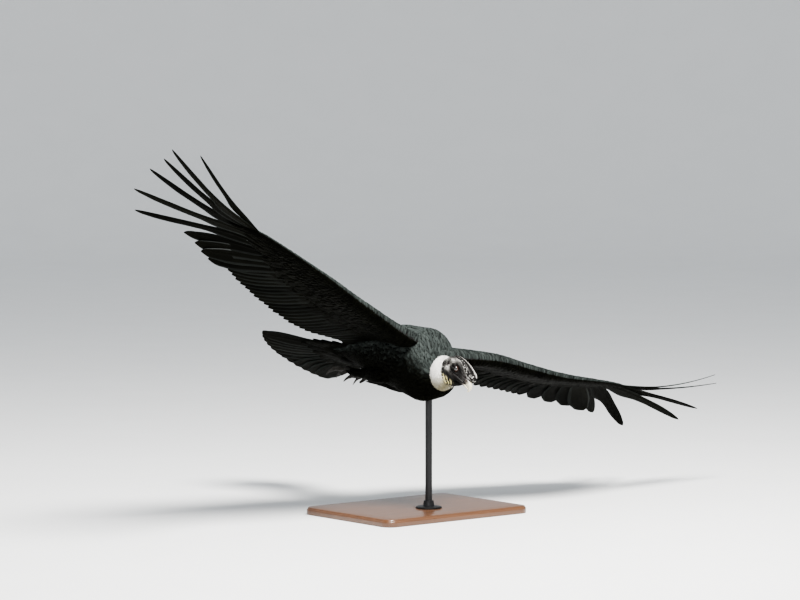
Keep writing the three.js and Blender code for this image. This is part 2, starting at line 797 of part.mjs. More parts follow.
function baseShape() {
  const { length, width, thickness, corner, bevel } = BASE;
  const outline = new THREE.Shape();
  const [a, b, r] = [length / 2 - bevel, width / 2 - bevel, corner];
  outline.moveTo(-a + r, -b);
  outline.lineTo(a - r, -b);
  outline.absarc(a - r, -b + r, r, -Math.PI / 2, 0);
  outline.absarc(a - r, b - r, r, 0, Math.PI / 2);
  outline.absarc(-a + r, b - r, r, Math.PI / 2, Math.PI);
  outline.absarc(-a + r, -b + r, r, Math.PI, 1.5 * Math.PI);
  const slab = new THREE.ExtrudeGeometry(outline, {
    depth: thickness - 2 * bevel,
    bevelThickness: bevel,
    bevelSize: bevel,
    bevelSegments: 1,
    curveSegments: 4,
  });
  slab.translate(0, 0, bevel);
  return fuse([solidOf(slab)]);
}

function roundBar(radius, bottom, top, sides = 24) {
  const bar = new THREE.CylinderGeometry(radius, radius, top - bottom, sides);
  bar.rotateX(Math.PI / 2);
  bar.translate(ROD.x, ROD.y, (bottom + top) / 2);
  return solidOf(bar);
}

function flangeShape() {
  const foot = BASE.thickness + GAP;
  const outline = [[ROD_RADIUS + GAP, foot], [46, foot], [46, foot + 4], [42, foot + 6],
    [ROD_RADIUS + 8, foot + 8], [ROD_RADIUS + 5, foot + 26], [ROD_RADIUS + GAP, foot + 26],
    [ROD_RADIUS + GAP, foot]].map(([x, y]) => new THREE.Vector2(x, y));
  const ring = new THREE.LatheGeometry(outline, 20);
  ring.rotateX(Math.PI / 2);
  ring.translate(ROD.x, ROD.y, 0);
  return fuse([solidOf(ring)]);
}

// The bird's frame in the stand's frame.
const bird = new THREE.Group();
bird.rotation.set(degrees(PITCH), degrees(BANK), -Math.PI / 2, "YXZ");
bird.position.set(8, -52, BODY_HEIGHT);
bird.updateMatrixWorld(true);
const toBird = bird.matrixWorld.clone().invert();

const rod = roundBar(ROD_RADIUS, BASE.thickness + GAP, ROD.top);
const socket = roundBar(ROD_RADIUS + GAP, 0, ROD.top + GAP).transform(toBird.elements.slice());

// Assembly.
const PLUMAGE = { color: "#15171a", roughness: 0.6 };
const SKIN = { color: "#4a4340", roughness: 0.55 };
const DOWN = { color: "#f1efe8", roughness: 0.95 };
const IVORY = { color: "#e6dcc4", roughness: 0.35 };
const LEG_SKIN = { color: "#b9b3a8", roughness: 0.6 };
const CLAW = { color: "#3a3531", roughness: 0.4 };
const EYE_BROWN = { color: "#3b2013", roughness: 0.1 };
const STEEL = { color: "#26282b", roughness: 0.45, metalness: 0.6 };
const WOOD = { color: "#3d2c20", roughness: 0.5 };

function add(group, name, solid, finish) {
  const mesh = new THREE.Mesh(geometryOf(solid), new THREE.MeshStandardMaterial(finish));
  mesh.name = name;
  group.add(mesh);
}

add(bird, "torso", fuse([torsoShape(0)], [socket, ruffBody(GAP)]), PLUMAGE);
add(bird, "ruff", ruffShape(), DOWN);
add(bird, "neck", neckShape(), SKIN);
add(bird, "head", headShape(), SKIN);
add(bird, "comb", onHead(combShape()), SKIN);
add(bird, "bill_upper", onHead(upperBillShape()), IVORY);
add(bird, "bill_lower", onHead(lowerBillShape()), IVORY);
add(bird, "tail", tailShape(), PLUMAGE);
for (const [side, word] of [
  [RIGHT, "right"],
  [LEFT, "left"],
]) {
  add(bird, `eye_${word}`, onHead(fuse([eyeShape(side, 0)])), EYE_BROWN);
  add(bird, `wing_${word}`, wingShape(side), PLUMAGE);
  add(bird, `thigh_${word}`, thighShape(side), PLUMAGE);
  add(bird, `shank_${word}`, shankShape(side), LEG_SKIN);
  add(bird, `foot_${word}`, footShape(side), LEG_SKIN);
  for (const [toe, claw] of clawShapes(side)) add(bird, `claw_${toe}_${word}`, claw, CLAW);
}

const group = new THREE.Group();
group.add(bird);
add(group, "stand_base", baseShape(), WOOD);
add(group, "stand_flange", flangeShape(), STEEL);
add(group, "stand_rod", fuse([rod]), STEEL);

export default group;
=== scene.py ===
# %% [markdown]
# # A gliding condor on a display stand
# The model is a male Andean condor banking to its left, as large as life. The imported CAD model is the
# frame: it says where every part of the bird is. This script dresses that frame. It lays one skin
# under the plumage, then thousands of small closed vanes over it, and gives each surface its finish.
# Everything is worked out as whole numpy arrays, so a shape is always a formula on a grid.

import bpy
import numpy as np
from mathutils import Matrix, Vector


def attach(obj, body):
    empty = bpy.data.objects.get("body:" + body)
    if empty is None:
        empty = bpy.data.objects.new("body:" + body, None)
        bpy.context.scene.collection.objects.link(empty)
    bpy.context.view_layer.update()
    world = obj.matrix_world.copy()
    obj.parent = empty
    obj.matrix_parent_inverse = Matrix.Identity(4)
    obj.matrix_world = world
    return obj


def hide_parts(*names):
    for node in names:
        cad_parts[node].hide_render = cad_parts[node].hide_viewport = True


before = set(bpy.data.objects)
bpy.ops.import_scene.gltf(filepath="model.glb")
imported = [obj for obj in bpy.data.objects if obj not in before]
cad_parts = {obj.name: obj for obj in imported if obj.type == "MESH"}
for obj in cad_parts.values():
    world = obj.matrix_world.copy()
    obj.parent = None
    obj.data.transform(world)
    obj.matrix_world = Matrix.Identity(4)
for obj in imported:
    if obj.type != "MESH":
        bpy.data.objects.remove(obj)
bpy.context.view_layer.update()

# %% [markdown]
# ## The bird's own frame
# It is easier to think along the bird than along the room. Its own frame has X forward, Y to its left
# and Z up, in millimetres, with the origin between the shoulders. The CAD model turns this frame
# into the bank, so the same turn brings every point of this script into place.

# %% Turn the bird into its bank
BANK, PITCH = 21, 0.3
PLACE = np.array([8, -52, 600])


def rotation(axis, angle):
    """The turn by an angle in degrees about axis 0, 1 or 2, as a matrix."""
    c, s = np.cos(np.radians(angle)), np.sin(np.radians(angle))
    i, j = (axis + 1) % 3, (axis + 2) % 3
    turn = np.eye(3)
    turn[[i, j], [i, j]] = c
    turn[i, j], turn[j, i] = -s, s
    return turn


BIRD = rotation(1, BANK) @ rotation(0, PITCH) @ rotation(2, -90)


def in_room(points):
    """Bird millimetres into room metres: turned by BIRD, then moved to PLACE."""
    return (points @ BIRD.T + PLACE) / 1000


def smooth(rows, x):
    """A cubic curve through rows of [place, value, ...], level past both ends.

    Between two places it is the Hermite cubic, with the slope at each place taken from its neighbours.
    """
    rows = np.asarray(rows, float)
    place, value = rows[:, 0], rows[:, 1:]
    slope = np.gradient(value, place, axis=0)
    x = np.clip(np.asarray(x, float), place[0], place[-1])
    i = np.clip(np.searchsorted(place, x) - 1, 0, len(place) - 2)
    step = (place[i + 1] - place[i])[..., None]
    t = (x - place[i])[..., None] / step
    curve = (2 * t**3 - 3 * t**2 + 1) * value[i] + (t**3 - 2 * t**2 + t) * step * slope[i]
    curve += (3 * t**2 - 2 * t**3) * value[i + 1] + (t**3 - t**2) * step * slope[i + 1]
    return curve[..., 0] if value.shape[1] == 1 else curve


def ease(x, low, high):
    """A soft step from 0 at low to 1 at high."""
    t = np.clip((x - low) / (high - low), 0, 1)
    return t * t * (3 - 2 * t)


def unit(v):
    """Vectors divided by their own lengths."""
    return v / np.linalg.norm(v, axis=-1, keepdims=True)


print("bird's forward in the room", np.round(BIRD @ [1, 0, 0], 3))

# %% [markdown]
# ## Torso, neck and head as surfaces
# A bird's trunk is close to a row of eggs of different sizes. At each place along X the section is an
# egg with its own half-width, height above and depth below a centre. A vertex on it is found from
# two numbers: the place along X and the turn round the section.

# %% Sections of the trunk
TORSO = [
    # x, centre height, half-width, up, down
    [-392, -66, 54, 28, 28],
    [-340, -61, 70, 42, 46],
    [-260, -54, 90, 60, 76],
    [-170, -46, 104, 78, 112],
    [-90, -42, 118, 94, 134],
    [-20, -50, 114, 102, 144],
    [40, -60, 108, 104, 145],
    [80, -86, 98, 86, 108],
    [106, -104, 84, 66, 80],
    [124, -116, 64, 46, 56],
    [134, -122, 44, 30, 36],
]


def torso(x, turn, h):
    """The trunk: (x, (w + h) cos turn, centre + (reach + h) sin turn), reach being up or down."""
    section = smooth(TORSO, x)
    centre, wide, up, down = np.moveaxis(section, -1, 0)
    reach = np.where(np.sin(turn) > 0, up, down)
    return np.stack([x + 0 * turn, (wide + h) * np.cos(turn), centre + (reach + h) * np.sin(turn)], -1)


NECK = [
    # share of the neck, then its centre line
    [0, 50, 0, -86],
    [0.25, 104, 1, -101],
    [0.5, 132, 3, -101],
    [0.75, 156, 6, -94],
    [1, 177, 9, -81],
]


def neck_ring(t, turn, radius):
    """A circle of the given radius round the neck's centre line, in the plane across that line."""
    centre = smooth(NECK, t)
    along = unit(smooth(NECK, t + 0.01) - smooth(NECK, t - 0.01))
    across = unit(np.cross([0, 0, 1], along))
    above = np.cross(along, across)
    return centre + radius[..., None] * (across * np.cos(turn)[..., None] + above * np.sin(turn)[..., None])


print("trunk from", TORSO[0][0], "to", TORSO[-1][0], "mm")

# %% [markdown]
# ## Wings as one bent sheet
# Both wings share one plan. A point is given by its span o from the shoulder, its chord f forward of
# the spar and its height h. The pose then bends the sheet: arm and hand have their own dihedral, sweep
# and twist, mixed softly at the wrist, and the whole sheet bows a little with the load.

# %% Bend the wing plan into the pose
LEFT, RIGHT = 1, -1
SHOULDER = np.array([-15, 92, -17])
WRIST, BEND = 540, 70
CAMBER = 28 / 340**2
POSE = {
    # dihedral of arm and hand, sweep of arm and hand, twist of arm and hand
    RIGHT: (5.5, 9, 5, 3, 5, 3),
    LEFT: (7.5, 14, 5, -3, 5, 11),
}
BOW = {
    RIGHT: [[0, -6], [120, -9], [260, -3], [400, 5], [560, 15], [700, 24], [800, 26], [900, 15], [1000, 5],
            [1120, 0]],
    LEFT: [[0, -5], [90, 7], [170, 15], [320, 11], [450, 7], [600, 9], [720, 9], [850, 5], [1000, 0]],
}


def wing(side, o, f, h):
    """A point of the wing's sheet, bent by its pose.

    The spar's path mixes the arm's direction with the hand's past the wrist; forward is tipped by the
    twist and above by the dihedral, and the trailing part drops by the camber, which grows with f squared.
    """
    arm_up, hand_up, arm_sweep, hand_sweep, arm_twist, hand_twist = np.radians(POSE[side])
    past = BEND * np.logaddexp(0, (o - WRIST) / BEND)
    hand = 1 / (1 + np.exp((WRIST - o) / BEND))
    x = o * np.sin(arm_sweep) + past * (np.sin(hand_sweep) - np.sin(arm_sweep))
    y = o * np.cos(arm_up) + past * (np.cos(hand_up) - np.cos(arm_up))
    z = o * np.sin(arm_up) + past * (np.sin(hand_up) - np.sin(arm_up)) + smooth(BOW[side], o)
    up = arm_up + (hand_up - arm_up) * hand
    twist = arm_twist + (hand_twist - arm_twist) * ease(o, 420, 820) - np.radians(4) * (1 - ease(o, 0, 280))
    forward = np.stack([np.cos(twist), 0 * twist, np.sin(twist)], -1)
    above = unit(np.stack([-np.sin(twist), -side * np.sin(up), np.cos(up) * np.cos(twist)], -1))
    spar = np.stack([SHOULDER[0] + x, side * (SHOULDER[1] + y), SHOULDER[2] + z], -1)
    return spar + forward * np.asarray(f)[..., None] + above * (h - CAMBER * f * f)[..., None]


print("wing tips at", np.round(in_room(wing(LEFT, np.array(830.0), np.array(20.0), np.array(0.0))), 3))

# %% [markdown]
# The flesh of a wing is a thin wedge round the spar: blunt in front, drawn out behind, and thinner and
# narrower towards the tip. A chart that stands off such a surface is what the feathers are laid on.

# %% Flesh of the wing, and charts that stand off a surface
FLESH_BACK = 165
LEADING_EDGE = [[-80, 60], [0, 74], [150, 84], [320, 84], [470, 90], [560, 84], [680, 62], [800, 36], [840, 22]]
THICKNESS = [[-80, 76], [0, 70], [120, 60], [300, 48], [470, 38], [560, 30], [700, 20], [800, 12], [840, 7]]
SECTION_TOP = [[-1, 0.04], [-0.73, 0.16], [-0.36, 0.34], [0, 0.49], [0.45, 0.5]]
SECTION_UNDER = [[-1, -0.04], [-0.73, -0.12], [-0.36, -0.26], [0, -0.38], [0.45, -0.4]]


def flesh_behind(o):
    """How far the flesh reaches behind the spar: it narrows by 45 in 100 from the wrist to the tip."""
    return FLESH_BACK * (1 - 0.45 * ease(o, WRIST, 800))


def chord(o, s):
    """Chord place for a share s: 1 at the leading edge, 0 on the spar, -1 at the end of the flesh."""
    return np.where(s > 0, s * smooth(LEADING_EDGE, o), s * flesh_behind(o))


def flesh_height(o, f, face):
    """Height of the flesh over the wing's sheet: a section profile times the thickness at that span.

    The front half of the section is a quarter of an ellipse, so that the leading edge is round.
    """
    s = np.clip(np.where(f > 0, f / smooth(LEADING_EDGE, o), f / flesh_behind(o)), -1, 1)
    back = smooth(SECTION_TOP if face > 0 else SECTION_UNDER, s)
    nose = (0.5 if face > 0 else -0.4) * np.sqrt(np.clip(1 - ((s - 0.45) / 0.55) ** 2, 0, 1))
    return smooth(THICKNESS, o) * np.where(s > 0.45, nose, back)


def raised(surface, core, step_a=0.5, step_b=0.5):
    """A chart that stands h off a surface along its normal, the cross product of the surface's two slopes.

    core gives points inside the body, and tells which way is out.
    """
    def chart(a, b, h):
        p = surface(a, b)
        normal = np.cross(surface(a + step_a, b) - p, surface(a, b + step_b) - p)
        normal = unit(normal + 1e-12)
        outwards = np.sign(np.sum(normal * (p - core(a, b)), -1, keepdims=True))
        return p + outwards * normal * np.asarray(h)[..., None]
    return chart


print("flesh behind the spar", FLESH_BACK, "mm, and", round(float(flesh_behind(800))), "mm near the tip")

# %% [markdown]
# ## Meshes from whole arrays
# A surface is a grid of points, so its faces follow from the grid's size alone. The grids below are
# rings, one after another, so each shape is a tube. Its two ends are closed by one face each.

# %% Put arrays into a mesh
def tube_faces(rings, sides):
    """Quads of a tube of rings, and its two end faces: ring i joins ring i + 1, side j joins j + 1."""
    i, j = np.meshgrid(np.arange(rings - 1), np.arange(sides), indexing="ij")
    a, b = i * sides + j, i * sides + (j + 1) % sides
    walls = np.stack([a, b, b + sides, a + sides], -1).reshape(-1, 4)
    first = np.arange(sides)[::-1]
    last = (rings - 1) * sides + np.arange(sides)
    return walls, np.stack([first, last])


def volume(points, faces):
    """Six times the volume inside flat faces: the sum of p0 . (p1 x p2) over each face's triangles."""
    total = 0
    for k in range(1, faces.shape[-1] - 1):
        p, q, r = points[..., faces[:, 0], :], points[..., faces[:, k], :], points[..., faces[:, k + 1], :]
        total = total + (p * np.cross(q, r)).sum((-1, -2))
    return total


def add_object(name, data):
    """A new object that shows this data, linked into the scene."""
    thing = bpy.data.objects.new(name, data)
    bpy.context.collection.objects.link(thing)
    return thing


def mark(mesh, values):
    """Keep named values on the mesh, one for each point, so that its finish can read them."""
    for label, value in values.items():
        mesh.attributes.new(label, "FLOAT", "POINT").data.foreach_set("value", value.astype(np.float32))


def new_object(name, points, face_groups, layers=None, values=None):
    """A smooth object from room points and groups of faces, with UV layers and named values on its points."""
    mesh = bpy.data.meshes.new(name)
    mesh.vertices.add(len(points))
    mesh.vertices.foreach_set("co", points.astype(np.float32).ravel())
    corners = np.concatenate([group.ravel() for group in face_groups])
    sizes = np.concatenate([np.full(len(group), group.shape[1]) for group in face_groups])
    mesh.loops.add(len(corners))
    mesh.loops.foreach_set("vertex_index", corners.astype(np.int32))
    mesh.polygons.add(len(sizes))
    mesh.polygons.foreach_set("loop_start", (np.cumsum(sizes) - sizes).astype(np.int32))
    mesh.update(calc_edges=True)
    for layer, uv in (layers or {}).items():
        mesh.uv_layers.new(name=layer).data.foreach_set("uv", uv[corners].astype(np.float32).ravel())
    mark(mesh, values or {})
    mesh.polygons.foreach_set("use_smooth", np.full(len(sizes), True))
    return add_object(name, mesh)


def tube(rings):
    """One closed tube from an array of rings (ring, side, xyz), facing outwards."""
    count, sides = rings.shape[:2]
    points = rings.reshape(-1, 3)
    walls, ends = tube_faces(count, sides)
    if volume(points, walls) + volume(points, ends) < 0:
        walls, ends = walls[:, ::-1], ends[:, ::-1]
    return points, [walls, ends]


print("a tube of 3 rings with 8 sides has", len(tube_faces(3, 8)[0]), "quads and two end faces")

# %% [markdown]
# Where several closed shapes run into each other, as a leg into the trunk, one skin has to cover them.
# A voxel remesh makes it: it keeps only the outside of everything together.

# %% Fuse closed shapes into one skin
def join(parts):
    """Several closed shapes in one list of points and faces."""
    points, groups, start = [], {}, 0
    for shape, faces in parts:
        for group in faces:
            groups.setdefault(group.shape[1], []).append(group + start)
        points.append(shape)
        start += len(shape)
    return np.concatenate(points), [np.concatenate(group) for group in groups.values()]


def remeshed(name, parts, voxel, smoothing):
    """Closed shapes that run into each other, made one skin by a voxel remesh, then smoothed a little."""
    points, groups = join(parts)
    rough = new_object(name + "_rough", in_room(points), groups)
    remesh = rough.modifiers.new("skin", "REMESH")
    remesh.mode, remesh.voxel_size = "VOXEL", voxel / 1000
    relax = rough.modifiers.new("relax", "SMOOTH")
    relax.iterations, relax.factor = smoothing, 0.5
    graph = bpy.context.evaluated_depsgraph_get()
    mesh = bpy.data.meshes.new_from_object(rough.evaluated_get(graph))
    bpy.data.objects.remove(rough)
    mesh.polygons.foreach_set("use_smooth", np.full(len(mesh.polygons), True))
    return add_object(name, mesh)


print("ready to fuse")

# %% [markdown]
# ## Writing a finish as sums
# Shader graphs are easier to read as arithmetic. The class below wraps one output of a node, and its
# operators add Math nodes. Any other node comes from one method, which takes the node's type, its
# settings, and what goes into its sockets.

# %% Shader values as Python expressions
class Value:
    """One output socket in a material. Sums, differences and products of it add Math nodes."""

    def __init__(self, tree, socket):
        self.tree, self.socket = tree, socket

    def math(self, operation, *others):
        """A Math node that takes this value and up to two others, values or numbers."""
        return self.tree.node("ShaderNodeMath", {"operation": operation}, dict(enumerate((self,) + others)))

    def __add__(self, other):
        return self.math("ADD", other)

    def __sub__(self, other):
        return self.math("SUBTRACT", other)

    def __rsub__(self, other):
        return (self * -1).math("ADD", other)

    def __mul__(self, other):
        return self.math("MULTIPLY", other)

    def clip(self):
        """Held between 0 and 1."""
        return self.tree.node("ShaderNodeClamp", {}, {"Value": self})

    def step(self, low, high):
        """A soft step: 0 below low, 1 above high."""
        return self.tree.node("ShaderNodeMapRange", {"interpolation_type": "SMOOTHSTEP"},
                              {"Value": self, "From Min": low, "From Max": high})

    __radd__, __rmul__ = __add__, __mul__


print("values can be added, subtracted, multiplied, clipped and stepped")


# %% A finish, built up node by node
class Finish:
    """A material whose nodes are added one by one, ending in a Principled shader."""

    def __init__(self, name):
        self.material = bpy.data.materials.new(name)
        self.material.use_nodes = True
        self.nodes, self.links = self.material.node_tree.nodes, self.material.node_tree.links
        self.shader = self.nodes["Principled BSDF"]

    def put(self, node, sockets):
        """Link values into a node's sockets, and set plain numbers and colours on them."""
        for name, value in sockets.items():
            if isinstance(value, Value):
                self.links.new(value.socket, node.inputs[name])
            elif value is not None:
                node.inputs[name].default_value = value

    def node(self, kind, settings, sockets, output=0):
        """A node of any type: its settings first, then the values or links of its sockets."""
        node = self.nodes.new(kind)
        for name, value in settings.items():
            setattr(node, name, value)
        self.put(node, sockets)
        return Value(self, node.outputs[output])

    def place(self):
        """Object coordinates: metres in the room, since every piece sits at the origin."""
        return self.node("ShaderNodeTexCoord", {}, {}, "Object")

    def noise(self, scale, detail=3.0, rough=0.5, at=None, stretch=None):
        at = at or self.place()
        if stretch:
            at = self.node("ShaderNodeMapping", {}, {"Vector": at, "Scale": stretch})
        return self.node("ShaderNodeTexNoise", {}, {"Vector": at, "Scale": scale, "Detail": detail,
                                                    "Roughness": rough}, "Fac")

    def cells(self, scale, at=None, feature="F1"):
        return self.node("ShaderNodeTexVoronoi", {"feature": feature},
                         {"Vector": at or self.place(), "Scale": scale}, "Distance")

    def attribute(self, name):
        return self.node("ShaderNodeAttribute", {"attribute_name": name}, {}, "Fac")

    def mix(self, factor, a, b):
        """A colour between a and b."""
        return self.node("ShaderNodeMix", {"data_type": "RGBA"},
                         {0: factor, 6: a if isinstance(a, Value) else (*a, 1),
                          7: b if isinstance(b, Value) else (*b, 1)}, 2)

    def bump(self, height, strength, distance):
        return self.node("ShaderNodeBump", {}, {"Height": height, "Strength": strength, "Distance": distance})

    def done(self, **sockets):
        """Fill the shader's sockets, named with _ for each space, and hand back the material."""
        self.put(self.shader, {name.replace("_", " "): value for name, value in sockets.items()})
        return self.material


print("finishes ready")

# %% [markdown]
# ## Feathers as closed vanes
# Each feather is a thin closed lens, carried along a line that leaves its root. Laid flat on a chart of
# the body, it is only a root, a heading, a length and a width; the chart then bends it onto the wing
# or the trunk. Tips rise a little, so each vane overlaps the next like a roof tile. The same function
# makes all of them, from a tail feather half a metre long to a tuft of down.

# %% Make a batch of vanes
RNG = np.random.default_rng(11)
ROUNDED = [[0, 0.35, 0.35], [0.35, 0.9, 0.9], [0.7, 1, 1], [0.9, 0.72, 0.72], [1, 0.16, 0.16]]
SMALL_SHARES = np.array([0, 0.3, 0.6, 0.85, 1])
FINE_ACROSS = np.array([1, 0.72, 0.4, 0.1, 0, -0.1, -0.4, -0.72, -1])


def vanes(chart, a, b, turn, length, before, behind=None, h=0.0, rise=0.0, lift=0.0, tilt=0.0, crown=0.0,
          unit_a=1.0, rows=ROUNDED, shares=SMALL_SHARES, across=(1, 0, -1), half=0.5, shaft=0.0, pale=0.0,
          webs=(-2.0, -1.5), bend=0.0, curl=0.0):
    """A batch of closed vanes on a chart whose axes are a, outwards, and b, forwards.

    At share s of its length L and place c across its width w, with v = c w, a vane's point is
    (a + s L sin turn + v cos turn, b - s L cos turn + v sin turn), at the height
    h + rise s + lift L s s + tilt v + crown w (1 - c c), plus or minus half its thickness. bend turns the
    line of the vane as it goes, and curl lifts or drops its tip. Only the top takes the pale marking.
    """
    n = len(a)
    a, b, turn, length, before, h, rise, lift, tilt, crown, unit_a, pale, bend, curl = (
        np.broadcast_to(np.asarray(x, float), n)[:, None, None]
        for x in (a, b, turn, length, before, h, rise, lift, tilt, crown, unit_a, pale, bend, curl))
    behind = before if behind is None else np.broadcast_to(np.asarray(behind, float), n)[:, None, None]
    across = np.asarray(across, float)
    inner = across[-2:0:-1]
    c = np.concatenate([across, inner])[None, None, :]
    face = np.concatenate([[0], np.ones(len(inner)), [0], -np.ones(len(inner))])[None, None, :]
    s = shares[None, :, None]
    profile = np.asarray(rows, float)
    profile = profile[None] if profile.ndim == 2 else profile
    width = np.stack([smooth(p, shares) for p in profile])
    w = np.where(c > 0, before * width[..., None, 0], behind * width[..., None, 1])
    v = c * w
    heading = np.radians(turn + bend * s)
    da = s * length * np.sin(heading) + v * np.cos(heading)
    db = -s * length * np.cos(heading) + v * np.sin(heading)
    middle = np.abs(c) < 0.05
    thick = face * (half * np.sqrt(1 - c * c) + shaft * middle * np.clip(1.15 - s, 0.15, 1))
    height = h + rise * s + lift * length * s * s + curl * s**4 + tilt * v + crown * w * (1 - c * c) + thick
    points = chart(a + da / unit_a, b + db, height).reshape(n, -1, 3)
    walls, ends = tube_faces(len(shares), c.shape[-1])
    if volume(points[:1], walls)[0] + volume(points[:1], ends)[0] < 0:
        walls, ends = walls[:, ::-1], ends[:, ::-1]
    local = np.stack(np.broadcast_arrays(s, 0.5 + 0.5 * c), -1).reshape(-1, 2)
    marking = pale * (face >= 0) * ease(c, *webs) * (1 - ease(s, 0.9, 0.97))
    # top is 1 on the upper face, 0 on the under face and 0.5 at the edges: the share of painted highlight
    # against painted shade in the plumage finish
    return dict(points=points, walls=walls, ends=ends, local=np.broadcast_to(local, (n,) + local.shape),
                root=np.stack([a[:, 0, 0], b[:, 0, 0]], -1), tone=RNG.random(n), size=length[:, 0, 0],
                pale=np.broadcast_to(marking, height.shape).reshape(n, -1),
                top=np.broadcast_to(0.5 + 0.5 * face, height.shape).reshape(n, -1))


print("a small vane has", len(tube_faces(len(SMALL_SHARES), 4)[0]), "quads")

# %% [markdown]
# A piece of plumage is a few batches of vanes in one mesh. Every vane keeps two maps: its own, from root to
# tip and across, for the barbs, and a small place in a shared one, called OFBake.

# %% Batches into one piece, and a piece onto the model
def place(piece, slot, *nodes, material):
    """Give a piece its finish, let it ride on the model and hide the CAD nodes it stands for."""
    piece.data.materials.append(material)
    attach(piece, "root")
    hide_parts(*nodes)
    piece.data.calc_loop_triangles()
    print(piece.name, len(piece.data.loop_triangles), "triangles")


def coat(name, batches, finish, slot, nodes, upper=1.0):
    """One piece of plumage from batches of vanes, each with its little patch of the bake's map."""
    quads, caps, bake, start = [], {}, [], 0
    for k, batch in enumerate(batches):
        n, m = batch["points"].shape[:2]
        shift = start + np.arange(n)[:, None, None] * m
        quads.append((batch["walls"] + shift).reshape(-1, 4))
        ends = batch["ends"]
        caps.setdefault(ends.shape[1], []).append((ends + shift).reshape(-1, ends.shape[1]))
        spread = np.ptp(batch["root"], axis=0) + 1e-6
        home = (batch["root"] - batch["root"].min(0)) / spread * 0.96 + 0.01
        home[:, 0] = (home[:, 0] + k) / len(batches)
        bake.append((home[:, None, :] + batch["local"] * 0.003).reshape(-1, 2))
        start += n * m

    def whole(key, last):
        """One array for the piece: the batches' own arrays in rows of the given length, end to end."""
        return np.concatenate([batch[key].reshape(-1, last) for batch in batches])

    values = {key: np.concatenate([np.repeat(batch[key], batch["points"].shape[1]) for batch in batches])
              for key in ("tone", "size")}
    values["pale"] = whole("pale", 1).ravel()
    # upper scales the painted highlight: at 0 the whole piece takes the painted shade of an underside
    values["top"] = whole("top", 1).ravel() * upper
    groups = [np.concatenate(quads)] + [np.concatenate(cap) for cap in caps.values()]
    piece = new_object(name, in_room(whole("points", 3)), groups,
                       {"OFBake": np.concatenate(bake), "vane": whole("local", 2)}, values)
    print(sum(len(batch["tone"]) for batch in batches), "vanes:", end=" ")
    place(piece, slot, *nodes, material=finish)


print("ready to lay feathers")

# %% [markdown]
# ## Plumage finish
# A condor's feathers are black. The top face of each vane gets a painted grey-green highlight and the under
# face a painted shade, darker still. Each vane has a pale shaft and hundreds of fine barbs that leave it at a
# slant, so the finish reads the vane's own map: one axis runs along the shaft, the other across it.

# %% Black plumage
def plumage():
    """Barbs are a sine of the distance along the shaft less a multiple of the distance from it."""
    finish = Finish("plumage")
    vane = finish.node("ShaderNodeUVMap", {"uv_map": "vane"}, {})
    along = finish.node("ShaderNodeSeparateXYZ", {}, {"Vector": vane}, "X")
    across = Value(finish, along.socket.node.outputs["Y"])
    centre = (across - 0.5).math("ABSOLUTE") * 2
    barb = ((along * finish.attribute("size") * 0.5 - centre * 9) * 6.28).math("SINE") * 0.5 + 0.5
    tone, top = finish.attribute("tone"), finish.attribute("top")
    patch = finish.noise(9, 4)
    depth = (tone * 0.55 + patch * 0.7 - 0.2 + barb * 0.12).clip()
    # shaded and lit are one black in two copies: painted shade for the under faces, a painted grey-green
    # highlight for the top faces, mixed by the top value
    shaded = finish.mix(depth, (0.0014, 0.0015, 0.001), (0.0052, 0.0054, 0.0036))
    lit = finish.mix(depth, (0.013, 0.0152, 0.0144), (0.06, 0.07, 0.066))
    base = finish.mix(top, shaded, lit)
    # worn fringes at edges and tips are real wear; their colour also comes as a painted-shade copy below and a
    # painted-highlight copy on top
    worn = ((centre.step(0.8, 1) * 0.6 + along.step(0.86, 1) * 0.5) * (patch * 0.8 + 0.2)).clip()
    base = finish.mix(worn, base, finish.mix(top, (0.008, 0.0076, 0.005), (0.07, 0.08, 0.073)))
    pale = (finish.attribute("pale") * (centre.step(0.02, 0.14) * 0.85 + 0.15)).clip()
    silver = finish.mix((patch * 0.8 + tone * 0.3 + barb * 0.1).clip(), (0.2, 0.21, 0.21), (0.55, 0.56, 0.55))
    base = finish.mix(pale, base, silver)
    bump = finish.bump(barb * 0.5 + centre.step(0.16, 0) * 0.8, 0.55, 0.0007)
    return finish.done(Base_Color=base, Roughness=(0.62 - depth * 0.14 + pale * 0.15 + worn * 0.15).clip(),
                       Normal=bump, Specular_IOR_Level=0.006)


PLUMAGE = plumage()
print("plumage finish made")

# %% [markdown]
# ## Skin under the plumage
# No gap between feathers may show an empty bird, so one skin runs from the collar to the tail and out
# into both wings. It is a handful of closed tubes that run into each other; a voxel remesh fuses
# them. It lies a little inside the CAD flesh, by the depth of the coat that goes over it.

# %% Trunk, neck and wings as rings
COAT_DEPTH = 9


def trunk_rings(h, sides=48, count=60):
    """Rings of torso(x, turn, h), pulled to a point at both ends."""
    x = np.linspace(TORSO[0][0], TORSO[-1][0], count)[:, None]
    turn = np.linspace(0, 2 * np.pi, sides, endpoint=False)[None, :]
    rings = torso(x, turn, h)
    near = 0.03
    start = np.array([-394, 0, -64]) * (1 - near) + rings[:1] * near
    tip = np.array([138 + h * 0.5, 0, -124]) * (1 - near) + rings[-1:] * near
    return np.concatenate([start, rings, tip])


def neck_rings(radius, start=0.0, end=1.0, sides=32, count=24):
    """Rings of the neck's tube between two shares of its centre line."""
    t = np.linspace(start, end, count)[:, None]
    turn = np.linspace(0, 2 * np.pi, sides, endpoint=False)[None, :]
    return neck_ring(t + 0 * turn, turn + 0 * t, radius + 0 * t * turn)


